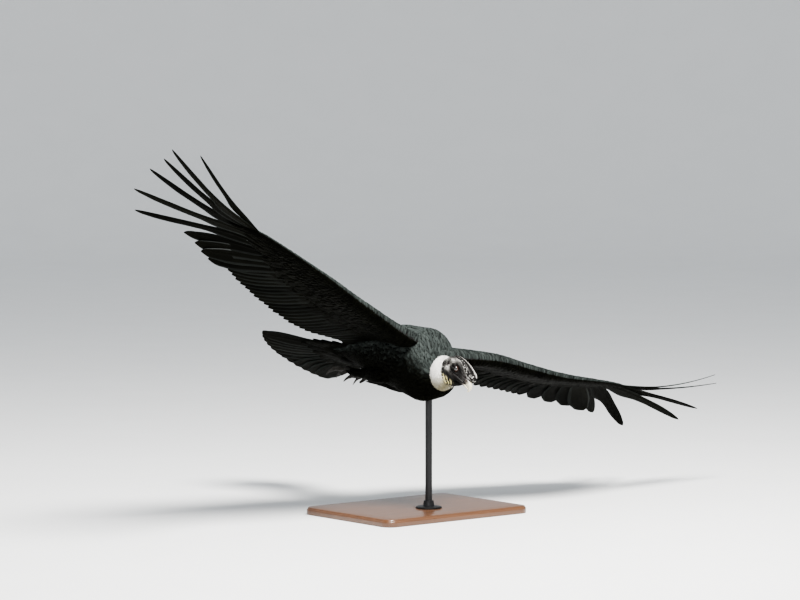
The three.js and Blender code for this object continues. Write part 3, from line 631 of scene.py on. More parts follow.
def wing_rings(side, inset, count=70):
    """Flesh of a wing: at each span a closed section, its top from back to front, then underneath."""
    o = np.concatenate([np.linspace(-60, 815, count), [826]])[:, None]
    f = chord(o, np.cos(np.linspace(np.pi, 0, 15))[None, :])
    o = o + 0 * f
    top = wing(side, o, f, np.maximum(flesh_height(o, f, 1) - inset, 0.6))
    under = wing(side, o, f, np.minimum(flesh_height(o, f, -1) + inset, -0.6))
    rings = np.concatenate([top, under[:, -2:0:-1]], 1)
    centre = rings[-1].mean(0)
    rings[-1] = centre + (rings[-1] - centre) * 0.2
    return rings


print("the skin lies", COAT_DEPTH, "mm under the feathers' surface")

# %% [markdown]
# Thighs, shanks, toes and the folds of the head are all limbs: a round section carried along a bent
# line. The rump has the tail's own frame, because the fan is turned and tipped against the trunk.

# %% Limbs, tail and rump
def limb(line, radii, squash=1.0):
    """A limb as a surface of a turn and a share t of its line, its radius changing along it.

    Each section is an ellipse across the line, with squash times the radius from side to side.
    """
    line, radii = np.asarray(line, float), np.asarray(radii, float)
    path = np.column_stack([np.linspace(0, 1, len(line)), line])
    thick = np.column_stack([np.linspace(0, 1, len(radii)), radii])

    def surface(turn, t):
        centre = smooth(path, t)
        t = np.clip(t, 0.01, 0.99)
        along = unit(smooth(path, t + 0.01) - smooth(path, t - 0.01))
        across = unit(np.cross(along, [0.02, 0.01, 1]))
        above = np.cross(across, along)
        radius = smooth(thick, t)[..., None]
        return centre + radius * (squash * across * np.cos(turn)[..., None] + above * np.sin(turn)[..., None])

    return surface


def limb_rings(line, radii, squash=1.0, sides=20, count=28):
    """Rings of limb(...), closed by a small ring a little way past each end."""
    surface = limb(line, radii, squash)
    t, turn = np.meshgrid(np.linspace(0, 1, count), np.linspace(0, 2 * np.pi, sides, endpoint=False),
                          indexing="ij")
    rings = surface(turn, t)
    caps = []
    for end, near, reach in ((rings[0], rings[1], radii[0]), (rings[-1], rings[-2], radii[-1])):
        centre = end.mean(0)
        out = unit(centre - near.mean(0))
        dome = [centre + (end - centre) * k + out * reach * r for k, r in ((0.8, 0.5), (0.35, 0.85))]
        caps.append(dome)
    return np.concatenate([np.array(caps[0][::-1]), rings, np.array(caps[1])])


TAIL_TURN = rotation(2, -5) @ rotation(1, -3) @ rotation(0, -14)
TAIL_PLACE = np.array([-372, 0, -68])


def tail(back, across, h):
    """A point of the tail's own frame: back from its root, across to the left and up."""
    flat = np.stack(np.broadcast_arrays(-np.asarray(back, float), across, h), -1)
    return flat @ TAIL_TURN.T + TAIL_PLACE


RUMP = [[-60, 50, 30, 34], [-30, 46, 26, 32], [20, 50, 22, 32], [80, 52, 14, 24], [135, 48, 7, 13],
        [185, 36, 3, 5]]


def rump_rings(inset, sides=24):
    """The rump: egg sections in the tail's frame, getting flatter towards the quills."""
    back = np.linspace(RUMP[0][0], RUMP[-1][0], 26)[:, None]
    wide, up, down = np.moveaxis(smooth(RUMP, back[:, 0]), -1, 0)[:, :, None] - inset * 0.6
    turn = np.linspace(0, 2 * np.pi, sides, endpoint=False)[None, :]
    reach = np.where(np.sin(turn) > 0, up, down)
    return tail(back + 0 * turn, wide * np.cos(turn), np.maximum(reach, 1.2) * np.sin(turn))


print("tail's root at", TAIL_PLACE, "mm in the bird's frame")

# %% Fuse them into the skin
THIGH = [(-52, 52, -112), (-112, 54, -132), (-172, 50, -142), (-228, 44, -144)]
THIGH_RADII = np.array([34, 40, 38, 30, 20, 12])
SIDES = ((RIGHT, "right"), (LEFT, "left"))


def on_side(line, side):
    """The left limb's line, or its mirror image for the right."""
    return np.asarray(line, float) * [1, side, 1]


skin_parts = [tube(trunk_rings(-COAT_DEPTH)), tube(neck_rings(34.0, end=0.7)), tube(rump_rings(6))]
for side, _ in SIDES:
    skin_parts.append(tube(wing_rings(side, 5)))
    skin_parts.append(tube(limb_rings(on_side(THIGH, side), THIGH_RADII - 5, 0.9)))
body_skin = remeshed("skin_body", skin_parts, 4.5, 3)


def feather_skin():
    """Nearly black and rough, with pits at the middles of cells and a grain over them."""
    finish = Finish("skin_under_feathers")
    pits = finish.cells(160)
    grain = finish.noise(60, 4)
    base = finish.mix(grain, (0.004, 0.004, 0.004), (0.012, 0.011, 0.01))
    return finish.done(Base_Color=base, Roughness=0.75 + grain * 0.15, Specular_IOR_Level=0.2,
                       Normal=finish.bump(pits + grain, 0.6, 0.001))


place(body_skin, "plumage", "torso", "wing_right", "wing_left", "thigh_right", "thigh_left", "tail",
      material=feather_skin())

# %% [markdown]
# ## Flight feathers
# Ten primaries spread from the hand, and the outer six narrow suddenly, so they part like fingers and
# let light through. The secondaries behind the arm overlap in one even row. Each feather has its own
# root, heading and bend on the wing's chart, read from the photograph for the two hands. From above,
# the outer webs of an old male's secondaries are silver white, which makes the great pale panel.

# %% Primaries and secondaries
PRIMARIES = np.array([
    # span and chord of the root, length, width before and behind the shaft
    [545, -14, 360, 24, 50], [574, -13, 360, 24, 50], [603, -12, 362, 23, 50], [632, -10, 380, 22, 50],
    [661, -6, 515, 20, 48], [690, 0, 545, 19, 46], [719, 6, 560, 18, 44], [746, 13, 572, 16, 38],
    [772, 21, 590, 14, 32], [794, 30, 530, 10, 22],
])
SPREAD = {
    # heading from straight back, lift of the bend, rise of the tip
    RIGHT: [[24, -0.024, 0], [27, -0.024, 0], [29, -0.002, 0], [33, 0.03, 0], [53, -0.015, 0],
            [73, -0.04, 0], [88, 0.01, 0], [98, 0.04, 0], [104, 0.07, 0], [113, 0.044, 35]],
    LEFT: [[28, 0.005, 0], [35, -0.02, 0], [42, -0.055, 0], [47, -0.09, 0], [48, -0.022, 0],
           [57, -0.126, 0], [77, -0.135, 0], [82, -0.07, 0], [87, 0.087, 0], [89, 0.147, 0]],
}
PLAIN_VANE = [[0, 0.2, 0.15], [0.12, 0.45, 0.5], [0.45, 1, 1], [0.86, 0.96, 0.86], [0.97, 0.55, 0.42],
              [1, 0.08, 0.08]]
FINGER_VANE = [[0, 0.2, 0.15], [0.1, 0.5, 0.5], [0.2, 0.9, 0.75], [0.4, 1, 1], [0.5, 0.84, 0.7],
               [0.6, 0.76, 0.6], [0.78, 0.68, 0.54], [0.92, 0.46, 0.36], [0.98, 0.25, 0.2], [1, 0.06, 0.06]]
SECONDARY_VANE = [[0, 0.2, 0.15], [0.12, 0.45, 0.5], [0.5, 1, 1], [0.82, 0.92, 0.84], [0.93, 0.62, 0.5],
                  [0.98, 0.32, 0.26], [1, 0.06, 0.06]]
LONG_SHARES = np.concatenate([[0], np.linspace(0.05, 0.92, 22), [0.955, 0.98, 1]])
FINE_GRID = np.linspace(0, 1, 41)[:, None]


def sheet(side):
    """One wing's sheet as a chart of span, chord and height."""
    return lambda o, f, h: wing(side, o, f, h)


def flight_feathers(side):
    """Batches of one wing's primaries and secondaries, laid on its sheet."""
    o, f, length, before, behind = PRIMARIES.T
    turn, lift, rise = np.array(SPREAD[side]).T
    rows = [np.hstack([FINE_GRID, smooth(PLAIN_VANE if i < 4 else FINGER_VANE, FINE_GRID[:, 0])])
            for i in range(10)]
    hand = vanes(sheet(side), o, f, turn, length, before, behind, rise=rise, lift=lift, tilt=0.1, rows=rows,
                 shares=LONG_SHARES, across=FINE_ACROSS, half=0.8, shaft=2.2, crown=0.02,
                 pale=[0.5, 0.3, 0.12, 0.05, 0, 0, 0, 0, 0, 0], webs=(0.0, 0.15))
    along = np.linspace(0, 1, 24)
    reach = 330 + 20 * np.sin(np.pi * along) - 26 * (1 - ease(along, 0, 0.25))
    arm = vanes(sheet(side), 36 + 484 * along, np.full(24, -16.0), -7 + 27 * along,
                reach + RNG.normal(0, 2, 24), 27, 40, tilt=0.1, rows=SECONDARY_VANE, shares=LONG_SHARES,
                across=FINE_ACROSS, half=0.7, shaft=1.9, crown=0.02,
                pale=0.25 + 0.75 * ease(along, 0.02, 0.2) * (1 - 0.25 * along), webs=(-0.12, 0.05))
    return [hand, arm]


for side, label in SIDES:
    coat("flight_feathers_" + label, flight_feathers(side), PLUMAGE, "plumage", ["wing_" + label])

# %% [markdown]
# ## Coverts
# Rows of smaller feathers close the gap between the flesh and the flight feathers, above and below.
# Each row starts further forward and is shorter than the one behind it, until the feathers at the
# leading edge are no longer than a finger joint. Their chart is measured round the skin from the
# leading edge, so the first rows wrap over it.

# %% A chart round the wing's skin
SHARE = np.cos(np.linspace(0, np.pi, 301))
rounded_nose = 29 * np.sqrt(np.clip(1 - ((SHARE - 0.45) / 0.55) ** 2, 0, 1))
behind_nose = 58 * smooth(SECTION_TOP, np.minimum(SHARE, 0.45))
mean_section = np.stack([np.where(SHARE > 0, 84 * SHARE, FLESH_BACK * SHARE),
                         np.where(SHARE > 0.45, rounded_nose, behind_nose)], -1)
ROUND = np.concatenate([[0], np.cumsum(np.linalg.norm(np.diff(mean_section, axis=0), axis=1))])
print("way round one face of the wing", round(ROUND[-1]), "mm")


def wing_skin(side, face):
    """The skin of one face: span a, and b mm round from the leading edge, negative going back.

    The share of the chord follows from b by the mean section's length. Past the flesh it goes on straight
    back, just clear of the flight feathers, and b above 0 is the other face.
    """
    def surface(a, b):
        q = np.abs(b)
        s = np.interp(q, ROUND, SHARE) - np.maximum(q - ROUND[-1], 0) / FLESH_BACK
        f = chord(a, s)
        own = b <= 0
        height = np.where(own, flesh_height(a, f, face), flesh_height(a, f, -face))
        clear = 4.5 * ease(-s, 0.5, 1.0) * np.clip(1.3 - a / 900, 0.4, 1)
        return wing(side, a, f, np.where(own & (s < 0), face * np.maximum(np.abs(height), clear), height))

    return raised(surface, lambda a, b: wing(side, a, 0 * a, 0 * a), 1.0, -1.0)


# %% Rows of coverts on both faces
COVERTS = [
    # way round from the leading edge, length, half-width, spacing along the span, rise of the tip
    [-192, 168, 19, 19, 5.5], [-170, 118, 17, 16, 5.5], [-148, 92, 15, 14, 5.5], [-126, 76, 14, 12.5, 5],
    [-105, 64, 13, 11.5, 5], [-86, 56, 12, 11, 4.6], [-68, 48, 11, 10, 4.2], [-51, 42, 10, 9.5, 3.8],
    [-36, 36, 9, 8.5, 3.4], [-22, 31, 8, 8, 3.2], [-9, 27, 7.5, 7.5, 3.0], [3, 24, 7, 7, 2.8],
]
MID_SHARES = np.array([0, 0.2, 0.45, 0.7, 0.88, 0.97, 1])
MID_ACROSS = (1, 0.5, 0, -0.5, -1)


def covert_batches(side, face):
    """Rows of coverts on one face: roots evenly along the span, a little jitter, and the hand's own fan."""
    batches = []
    chart = wing_skin(side, face)
    for q, length, wide, spacing, rise in COVERTS:
        o = np.arange(-30, 812, spacing)
        o = o + RNG.normal(0, spacing * 0.2, len(o))
        hand = ease(o, 500, 800)
        root = (q + RNG.normal(0, 1.6, len(o))) * (1 - 0.42 * hand * (q < 0))
        turn = -7 + 29 * ease(o, 36, 528) + (50 if q < -60 else 36) * hand + RNG.normal(0, 4, len(o))
        shorter = 0.88 if face < 0 and q < -100 else 1
        reach = length * (1 - 0.3 * hand) * shorter * RNG.normal(1, 0.035, len(o))
        climb = rise * RNG.normal(1, 0.12, len(o))
        silver = (1.0 if q < -180 else 0.45 if q < -165 else 0.0) * (face > 0)
        pale = ease(o, 20, 110) * (1 - 0.8 * ease(o, 500, 620)) * silver
        large = length > 70
        batches.append(vanes(chart, o, root, turn, reach, wide * (1 - 0.2 * hand), h=-2.6, rise=climb,
                             tilt=0.04, crown=0.03, half=0.35, shaft=0.5 if large else 0.25, pale=pale,
                             webs=(-0.9, -0.4), shares=MID_SHARES if large else SMALL_SHARES,
                             across=MID_ACROSS if large else (1, 0, -1)))
    return batches


for side, label in SIDES:
    coat("coverts_above_" + label, covert_batches(side, 1), PLUMAGE, "plumage", ["wing_" + label])
    # the under coverts take the painted shade of an underside all over
    coat("coverts_below_" + label, covert_batches(side, -1), PLUMAGE, "plumage", ["wing_" + label], upper=0.0)

# %% [markdown]
# The alula is the bird's thumb: three stiff feathers one over another at the wrist, on top of the coverts.

# %% Alula
for side, label in SIDES:
    i = np.arange(3)
    thumb = vanes(sheet(side), 568 - 16.0 * i, 54 - 7.0 * i, 80 - 4.0 * i, 152 - 26.0 * i, 9, 15, h=9 + 2.5 * i,
                  rise=-2.0, tilt=0.06, shares=LONG_SHARES[::2], across=FINE_ACROSS, half=0.6, shaft=1.2,
                  crown=0.04)
    coat("alula_" + label, [thumb], PLUMAGE, "plumage", ["wing_" + label])

# %% [markdown]
# ## Contour feathers of the trunk
# The trunk's own chart is the way along its side and the turn round it. Feathers sit in staggered rows
# on that chart and all point to the tail, so they draw together where the body narrows.

# %% Feathers round the trunk
TRUNK_X = np.linspace(TORSO[0][0], TORSO[-1][0] - 0.5, 400)
mean_radius = smooth(TORSO, TRUNK_X)[:, 1:].mean(1)
FROM_TAIL = np.concatenate([[0], np.cumsum(np.hypot(np.diff(TRUNK_X), np.diff(mean_radius)))])


def trunk_skin(turn, b):
    """The trunk by its turn and the way b along its side from the rump: x follows from b by a table.

    Past the rump, where b is below 0, it goes straight on and narrows by 0.12 mm for each mm.
    """
    past = np.minimum(b, 0)
    return torso(np.interp(b, FROM_TAIL, TRUNK_X) + past, turn, 0.12 * past)


def trunk_core(turn, b):
    """The middle of the section 12 mm behind b, which tells the chart which way is out."""
    place = np.interp(b, FROM_TAIL, TRUNK_X) + np.minimum(b, 0) - 12
    return np.stack([place, 0 * place, smooth(TORSO, place)[..., 0]], -1)


LANCET = [[0, 0.3, 0.3], [0.3, 0.85, 0.85], [0.65, 1, 1], [0.88, 0.66, 0.66], [1, 0.1, 0.1]]


def trunk_batch(low, high, row, gap, wide, rows, wild):
    """Staggered roots on the trunk's chart, in a band of turns from low to high; wild scales the disorder.

    The height 13 s - 6 s s mm climbs off the skin fast and then levels out, so each tip lies flat.
    """
    roots = []
    for k, b in enumerate(np.arange(FROM_TAIL[-1] - 2, 4, -row)):
        side, up, down = smooth(TORSO, np.interp(b, FROM_TAIL, TRUNK_X))[1:]
        mean = (side + (up + down) / 2) / 2
        count = max(int(2 * np.pi * mean / gap), 12)
        turn = (np.arange(count) + 0.5 * (k % 2)) * 2 * np.pi / count
        roots.append(np.column_stack([turn, np.full(count, b), np.full(count, mean)]))
    turn, b, mean = np.concatenate(roots).T
    keep = (np.sin(turn) >= low) & (np.sin(turn) < high)
    turn, b, mean = turn[keep], b[keep], mean[keep]
    n = len(turn)
    front = ease(b, FROM_TAIL[-1] - 150, FROM_TAIL[-1])
    length = (66 - 30 * front) * RNG.normal(1, 0.1, n)
    batch = vanes(raised(trunk_skin, trunk_core, 0.01, 1.0), turn + RNG.normal(0, 0.02, n),
                  b + RNG.normal(0, 0.3 * row, n), RNG.normal(0, 7 * wild, n), length, (1 - 0.3 * front) * wide,
                  h=1.2 - COAT_DEPTH, rise=RNG.normal(13.2, 0.4, n), lift=-6 / length,
                  tilt=RNG.normal(0, 0.04 * wild, n), crown=0.04, unit_a=mean, half=0.2, rows=rows,
                  across=(1, 0.4, -0.4, -1), bend=RNG.normal(0, 12 * wild, n))
    # painted shade: the share of painted highlight fades out down the flanks to the belly
    batch["top"] = batch["top"] * ease(np.sin(turn) + RNG.normal(0, 0.06, n), -0.5, 0.35)[:, None]
    return batch


coat("feathers_back", [trunk_batch(-0.1, 1.1, 6.6, 9.4, 9.6, ROUNDED, 0.5)], PLUMAGE, "plumage", ["torso"])
coat("feathers_breast", [trunk_batch(-1.1, -0.1, 6.5, 7.7, 7, LANCET, 1.0)], PLUMAGE, "plumage", ["torso"])

# %% [markdown]
# ## Scapulars
# Where the wing joins the back, longer feathers bridge the valley between them. Their chart is the
# higher of the trunk's top and the wing's top, with a soft maximum that rounds the crease.

# %% Feathers over the shoulders
def shoulder(side):
    """Height at y = a, x = b: k log(exp(trunk / k) + exp(wing / k)), a maximum with a rounded crease."""
    arm_up = np.radians(POSE[side][0])

    def surface(a, b):
        centre, wide, up, _ = np.moveaxis(smooth(TORSO, b), -1, 0)
        trunk = centre + up * np.sqrt(np.clip(1 - (a / wide) ** 2, 0.0001, 1)) - 3 * np.maximum(a - wide, 0)
        o, f = a - SHOULDER[1], b - SHOULDER[0]
        over = SHOULDER[2] + o * np.tan(arm_up) + smooth(BOW[side], o) - CAMBER * f * f
        over = over + np.maximum(flesh_height(o, f, 1), 4)
        return np.stack([b, side * a, 9 * np.logaddexp(trunk / 9, over / 9)], -1)

    return raised(surface, lambda a, b: np.stack([b, side * a, 0 * a - 150], -1))


for side, label in SIDES:
    y, along = np.meshgrid(np.arange(44, 150, 10.5), np.arange(52, -190, -13.0))
    y, along = (y + 5 * (np.arange(len(y)) % 2)[:, None]).ravel(), along.ravel()
    keep = (y < 105 + 0.25 * (60 - along)) & (along > -180 + 0.5 * (y - 46))
    y, along = y[keep] + RNG.normal(0, 2, keep.sum()), along[keep] + RNG.normal(0, 2, keep.sum())
    back = ease(along, 50, -150)
    limit = 105 + 0.25 * (60 - along)
    edge = np.maximum(ease(y, 64, 44), ease(y, limit - 22, limit)) + 0.6 * ease(along, 30, 52)
    batch = vanes(shoulder(side), y, along, 4 + RNG.normal(0, 6, len(y)),
                  54 + 52 * back + RNG.normal(0, 5, len(y)), 12.5 + 4 * back, h=-1.5 - 5.5 * edge, rise=5.5,
                  tilt=0.02, crown=0.03, half=0.25, shaft=0.2, shares=MID_SHARES, across=MID_ACROSS)
    coat("scapulars_" + label, [batch], PLUMAGE, "plumage", ["torso", "wing_" + label])

# %% [markdown]
# ## Tail
# Twelve broad feathers make the fan. The middle pair lies on top and each one further out slides
# under its neighbour, tilted like a slat. Coverts hide their quills above and below.

# %% Tail feathers
TAIL_VANE = [[0, 0.2, 0.2], [0.12, 0.45, 0.45], [0.4, 0.9, 0.9], [0.88, 1, 1], [0.975, 0.6, 0.6],
             [1, 0.1, 0.1]]


def tail_chart(a, b, h):
    """The tail's frame as a chart: a across to the left, b forwards."""
    return tail(-b, a, h)


def tail_feathers():
    """Quills on the tail's chart: heading and length change with the place from -1 to 1 across the fan."""
    spread = np.linspace(-1, 1, 12)
    parts = []
    for sign in (-1, 1):
        p = spread[np.sign(spread) == sign]
        parts.append(vanes(tail_chart, p * 24, 0 * p, 16.5 * p, 494 * (1 - 0.125 * p * p), 31,
                           h=-3 * np.abs(p) + (0.75 if sign > 0 else 0), tilt=0.1 * sign, rows=TAIL_VANE,
                           shares=LONG_SHARES, across=FINE_ACROSS, half=0.8, shaft=2.0, crown=0.02))
    return parts


coat("tail_feathers", tail_feathers(), PLUMAGE, "plumage", ["tail"])


# %% Coverts over and under the quills
def rump_skin(face):
    """The rump's top or underside: its egg section's height at a across, b forwards in the tail's frame."""
    def surface(a, b):
        wide, up, down = np.moveaxis(smooth(RUMP, -b), -1, 0)
        reach = up if face > 0 else down
        level = np.clip(1 - (a / wide) ** 2, 0.0, 1)
        return tail(-b, a, face * np.maximum(reach * np.sqrt(level), 3.5))

    return raised(surface, lambda a, b: tail(-b, a * 0.5, 0 * a))


def tail_coverts(face):
    """Rows of coverts that lengthen towards the tail, on the rump's chart."""
    batches = []
    for k, back in enumerate(np.arange(-52, 118, 17.0)):
        wide = smooth(RUMP, back)[0] + 6
        count = int(2 * wide / 15)
        a = np.linspace(-wide, wide, count) + RNG.normal(0, 1.5, count) + 4 * (k % 2)
        length = 66 + 0.55 * (back + 52) + RNG.normal(0, 4, count)
        turn = 14 * a / wide + RNG.normal(0, 3, count)
        batches.append(vanes(rump_skin(face), a, np.full(count, -back), turn, length * (1 if face > 0 else 0.9),
                             16, h=-3.5, rise=6.5, tilt=0.05, crown=0.08, half=0.5, shaft=0.4,
                             shares=MID_SHARES, across=MID_ACROSS))
    return batches


coat("tail_coverts_above", tail_coverts(1), PLUMAGE, "plumage", ["tail"])
# the under tail coverts take the painted shade of an underside all over
coat("tail_coverts_below", tail_coverts(-1), PLUMAGE, "plumage", ["tail"], upper=0.0)

# %% [markdown]
# The thighs wear trousers of narrow, soft feathers that run on over the shank. Their chart is the way
# along the leg and the turn round it, on the same kind of limb as the skin under them.

# %% Feathers on the thighs
TROUSER = THIGH + [(-285, 43, -144), (-340, 41, -138)]
TROUSER_RADII = np.array([34, 40.5, 36, 26, 17.5, 12.5, 11.5])


def along_rows(rows, t):
    """Values of a list spread evenly from 0 to 1, read at t with the cubic curve."""
    return smooth(np.column_stack([np.linspace(0, 1, len(rows)), rows]), t)


TROUSER_LENGTH = 290
for side, label in SIDES:
    line = on_side(TROUSER, side)
    surface = limb(line, TROUSER_RADII, 0.9)
    ring, turn = np.meshgrid(np.arange(4, 205, 8.5), np.linspace(0, 2 * np.pi, 20, endpoint=False),
                             indexing="ij")
    turn = (turn + 0.16 * (np.arange(len(ring)) % 2)[:, None] + RNG.normal(0, 0.06, ring.shape)).ravel()
    ring = ring.ravel() + RNG.normal(0, 2, ring.size)
    mean = along_rows(TROUSER_RADII, ring / TROUSER_LENGTH)
    chart = raised(lambda a, b: surface(a, -b / TROUSER_LENGTH),
                   lambda a, b: along_rows(line, -b / TROUSER_LENGTH), 0.02, 2.0)
    loose = ease(ring, 110, 205)
    batch = vanes(chart, turn, -ring, RNG.normal(0, 8, len(turn)), RNG.normal(46, 8, len(turn)) + 26 * loose,
                  3.6 + 4 * np.minimum(mean / 36, 1), h=-5.0, rise=5.5 + 5 * loose * RNG.random(len(turn)),
                  tilt=0.03, crown=0.03, rows=LANCET, unit_a=np.maximum(mean, 14), half=0.25, shaft=0.15,
                  curl=-2.0)
    # the thigh feathers take the painted shade of an underside all over
    coat("feathers_thigh_" + label, [batch], PLUMAGE, "plumage", ["thigh_" + label], upper=0.0)

# %% [markdown]
# ## Ruff
# The collar is the softest thing on the bird: pure white down, so dense that it reads as one ring with
# a ragged edge. It is a round collar of skin with thousands of narrow tufts on it.

# %% White collar
NECK_LENGTH = 136
RUFF = [[-2, 44], [0, 52], [8, 58], [18, 61], [30, 57], [39, 48], [45, 38]]


def ruff_radius(turn, b):
    """The outline's radius, drawn in a little under the left of the throat, where the dewlap presses it."""
    aside = np.angle(np.exp(1j * (turn + 0.9)))
    return smooth(RUFF, b) - 7 * np.exp(-((aside / 0.7) ** 2))


def round_neck(turn, b, radius):
    """A point at a radius from the neck's line, b mm along it from the collar's start at a third of it."""
    return neck_ring(0.33 + b / NECK_LENGTH, turn, radius)


def throat_stain_and_shade(turn):
    """1 under the throat and 0 above, a soft step of minus the sine of the turn: the down there is yellower and
    darker, partly a stain and partly painted shade under the head.
    """
    return ease(-np.sin(turn), 0.2, 0.95)


def white_down():
    """White by patches and by tuft, mixed to a dull dark yellow under the throat: partly a stain, partly
    painted shade.
    """
    finish = Finish("white_down")
    patch = finish.noise(30, 4)
    strand = finish.noise(500, 2)
    tone = finish.attribute("tone")
    base = finish.mix((patch * 0.6 + tone * 0.5).clip(), (0.72, 0.7, 0.65), (0.95, 0.945, 0.93))
    # under the throat: a yellow stain and painted shade under the head
    base = finish.mix((finish.attribute("pale") * (patch * 0.7 + 0.55)).clip(), base, (0.24, 0.215, 0.13))
    return finish.done(Base_Color=base, Roughness=0.85 - patch * 0.1, Specular_IOR_Level=0.2,
                       Normal=finish.bump(strand, 0.4, 0.0006))


DOWN = white_down()
print("ruff", len(RUFF), "sections, up to", max(radius for _, radius in RUFF), "mm in radius")

# %% Pad and tufts
b, turn = np.meshgrid(np.linspace(-2, 45, 48), np.linspace(0, 2 * np.pi, 160, endpoint=False), indexing="ij")
tufted = 1.6 * np.sin(turn * 17 + 3 * np.sin(b / 5)) * np.sin(b / 3.2 + 2 * np.sin(turn * 5))
points, faces = tube(round_neck(turn, b, ruff_radius(turn, b) - 5 + tufted))
pad = new_object("collar_pad", in_room(points), faces,
                 values={"tone": np.full(len(points), 0.3), "pale": throat_stain_and_shade(turn).ravel()})
place(pad, "white_down", "ruff", material=DOWN)

chart = raised(lambda a, b: round_neck(a, b, ruff_radius(a, b)), lambda a, b: round_neck(a, b, 1.0 + 0 * b),
               0.02, 1.0)
DOWN_TUFT = [[0, 0.7, 0.7], [0.5, 1, 1], [1, 0.05, 0.05]]


def down(count, length, height):
    """Curling tufts at random places of the collar; the low ones get the throat's yellow stain and painted
    shade.
    """
    turn = RNG.uniform(0, 2 * np.pi, count)
    tufts = vanes(chart, turn, RNG.uniform(0, 46, count), RNG.normal(0, 26, count),
                  RNG.normal(length, 0.18 * length, count), RNG.normal(1.25, 0.2, count), h=-6.5,
                  rise=RNG.normal(height, 1.3, count), rows=DOWN_TUFT, shares=np.array([0, 0.5, 1]), half=0.3,
                  unit_a=54.0, bend=RNG.normal(0, 40, count), curl=RNG.normal(-1.5, 1.2, count), crown=0.1)
    tufts["pale"] = np.repeat(throat_stain_and_shade(turn)[:, None], tufts["pale"].shape[1], 1)
    return tufts


coat("collar_down_long", [down(9400, 16, 8.6)], DOWN, "white_down", ["ruff"])
coat("collar_down_short", [down(9400, 11, 7.4)], DOWN, "white_down", ["ruff"])

# %% [markdown]
# ## Head and bare neck
# An old male's head is bare: a dark skin, creased all over, with a fleshy comb from the crown to the bill,
# a fold from the brow down behind the ear, a wattle under the throat and thick rings round the neck.
# The large forms are closed surfaces fused by a fine voxel remesh. The creases come after it: each vertex
# moves along its normal by a sum of ridged noises, and the same sum later colours the skin.

# %% The head's frame and its noise
HEAD_TURN = rotation(2, 16) @ rotation(1, 29.5)
HEAD_PLACE = np.array([180, 10, -77])


def head(points):
    """Head millimetres into the bird's frame."""
    return points @ HEAD_TURN.T + HEAD_PLACE


def lattice(p, seed):
    """Smooth random numbers from 0 to 1: a hashed value at each whole place, blended between them."""
    cell = np.floor(p).astype(np.int64)
    t = p - cell
    t = t * t * (3 - 2 * t)
    total = np.zeros(p.shape[:-1])
    for corner in np.ndindex(2, 2, 2):
        q = cell + corner
        code = q[..., 0] * 374761393 + q[..., 1] * 668265263 + q[..., 2] * 2147483647 + seed * 1274126177
        code = (code ^ (code >> 13)) * 1274126177 & 0x7FFFFFFF
        weight = np.prod(np.where(corner, t, 1 - t), -1)
        total += weight * ((code ^ (code >> 16)) % 65536) / 65535
    return total


def ridged(p, size, seed):
    """Creases: 1 on thin ridges of the noise at the given size, 0 between them."""
    return 1 - np.abs(2 * lattice(p / size, seed) - 1)


print("head turned so that its forward is", np.round(HEAD_TURN @ [1, 0, 0], 3), "in the bird's frame")


# %% The large forms of the head
SKULL = [
    # x, centre height, half-width, up, down
    [-46, -3, 22, 21, 24], [-36, -1, 28, 27, 30], [-18, 0, 31, 31, 32], [2, 0, 30, 31, 33],
    [20, -2, 25, 27, 29], [38, -5, 18.5, 21, 23], [52, -7, 14, 17, 18], [62, -8, 12, 15, 15],
]
COMB = [
    # x, base height, ridge height, half-width of base, groove and ridge
    [-38, 22, 31, 3, 2.5, 2], [-26, 24, 38, 8, 4, 2.6], [-10, 24, 41, 12, 4.5, 3], [8, 22, 43, 10, 5, 3.2],
    [24, 16, 43, 13, 5, 3.4], [38, 8, 42, 11, 5.5, 3.6], [52, 2, 40, 12, 6, 4], [64, -2, 37, 10, 6.5, 4.4],
    [76, 3, 34, 9, 7, 4.6], [85, 7, 27, 6.5, 6, 4],
]


def skull_rings(sides=48):
    """Egg sections along the skull, (x, w cos turn, z + reach sin turn), narrowed at both ends."""
    x = np.concatenate([[-51, -50, -48.5], np.linspace(-46, 62, 50), [62.5]])[:, None]
    turn = np.linspace(0, 2 * np.pi, sides, endpoint=False)[None, :]
    z, wide, up, down = np.moveaxis(smooth(SKULL, x[:, 0]), -1, 0)[:, :, None]
    shrink = np.concatenate([[0.15, 0.55, 0.85], np.ones(50), [0.9]])[:, None]
    reach = np.where(np.sin(turn) > 0, up, down)
    return np.stack([x + 0 * turn, wide * shrink * np.cos(turn), z + reach * shrink * np.sin(turn)], -1)


def comb_rings():
    """Sections of the comb: half-width against height is base, groove, then a round ridge at the top."""
    x = np.concatenate([[-41], np.linspace(-38, 85, 60), [88, 89.5]])
    low, high, base, groove, ridge = np.moveaxis(smooth(COMB, x), -1, 0)
    q = np.array([0, 0.12, 0.28, 0.45, 0.58, 0.68, 0.78, 0.86, 0.93, 0.98])
    section = [[0, 0.8, 0, 0], [0.28, 1, 0, 0], [0.5, 0.55, 0.4, 0], [0.66, 0, 1, 0], [0.78, 0, 0.72, 0.1],
               [0.9, 0, 0, 1.12], [0.97, 0, 0, 0.85], [1, 0, 0, 0.3]]
    share = smooth(section, q)
    half = share @ np.stack([base, groove, ridge])
    pull = np.ones(len(x))
    pull[0], pull[-2], pull[-1] = 0.3, 0.75, 0.25
    middle = low + (high - low) * 0.55
    z = middle + (low + (high - low) * q[:, None] - middle) * pull
    half = half * pull
    left = np.stack([np.broadcast_to(x, z.shape), half, z], -1)
    right = left * [1, -1, 1]
    top = np.stack([x, 0 * x, middle + (high - middle) * pull], -1)[None]
    return np.concatenate([left, top, right[::-1]]).transpose(1, 0, 2)


print("skull", skull_rings().shape, "comb", comb_rings().shape, "rings, sides, xyz")


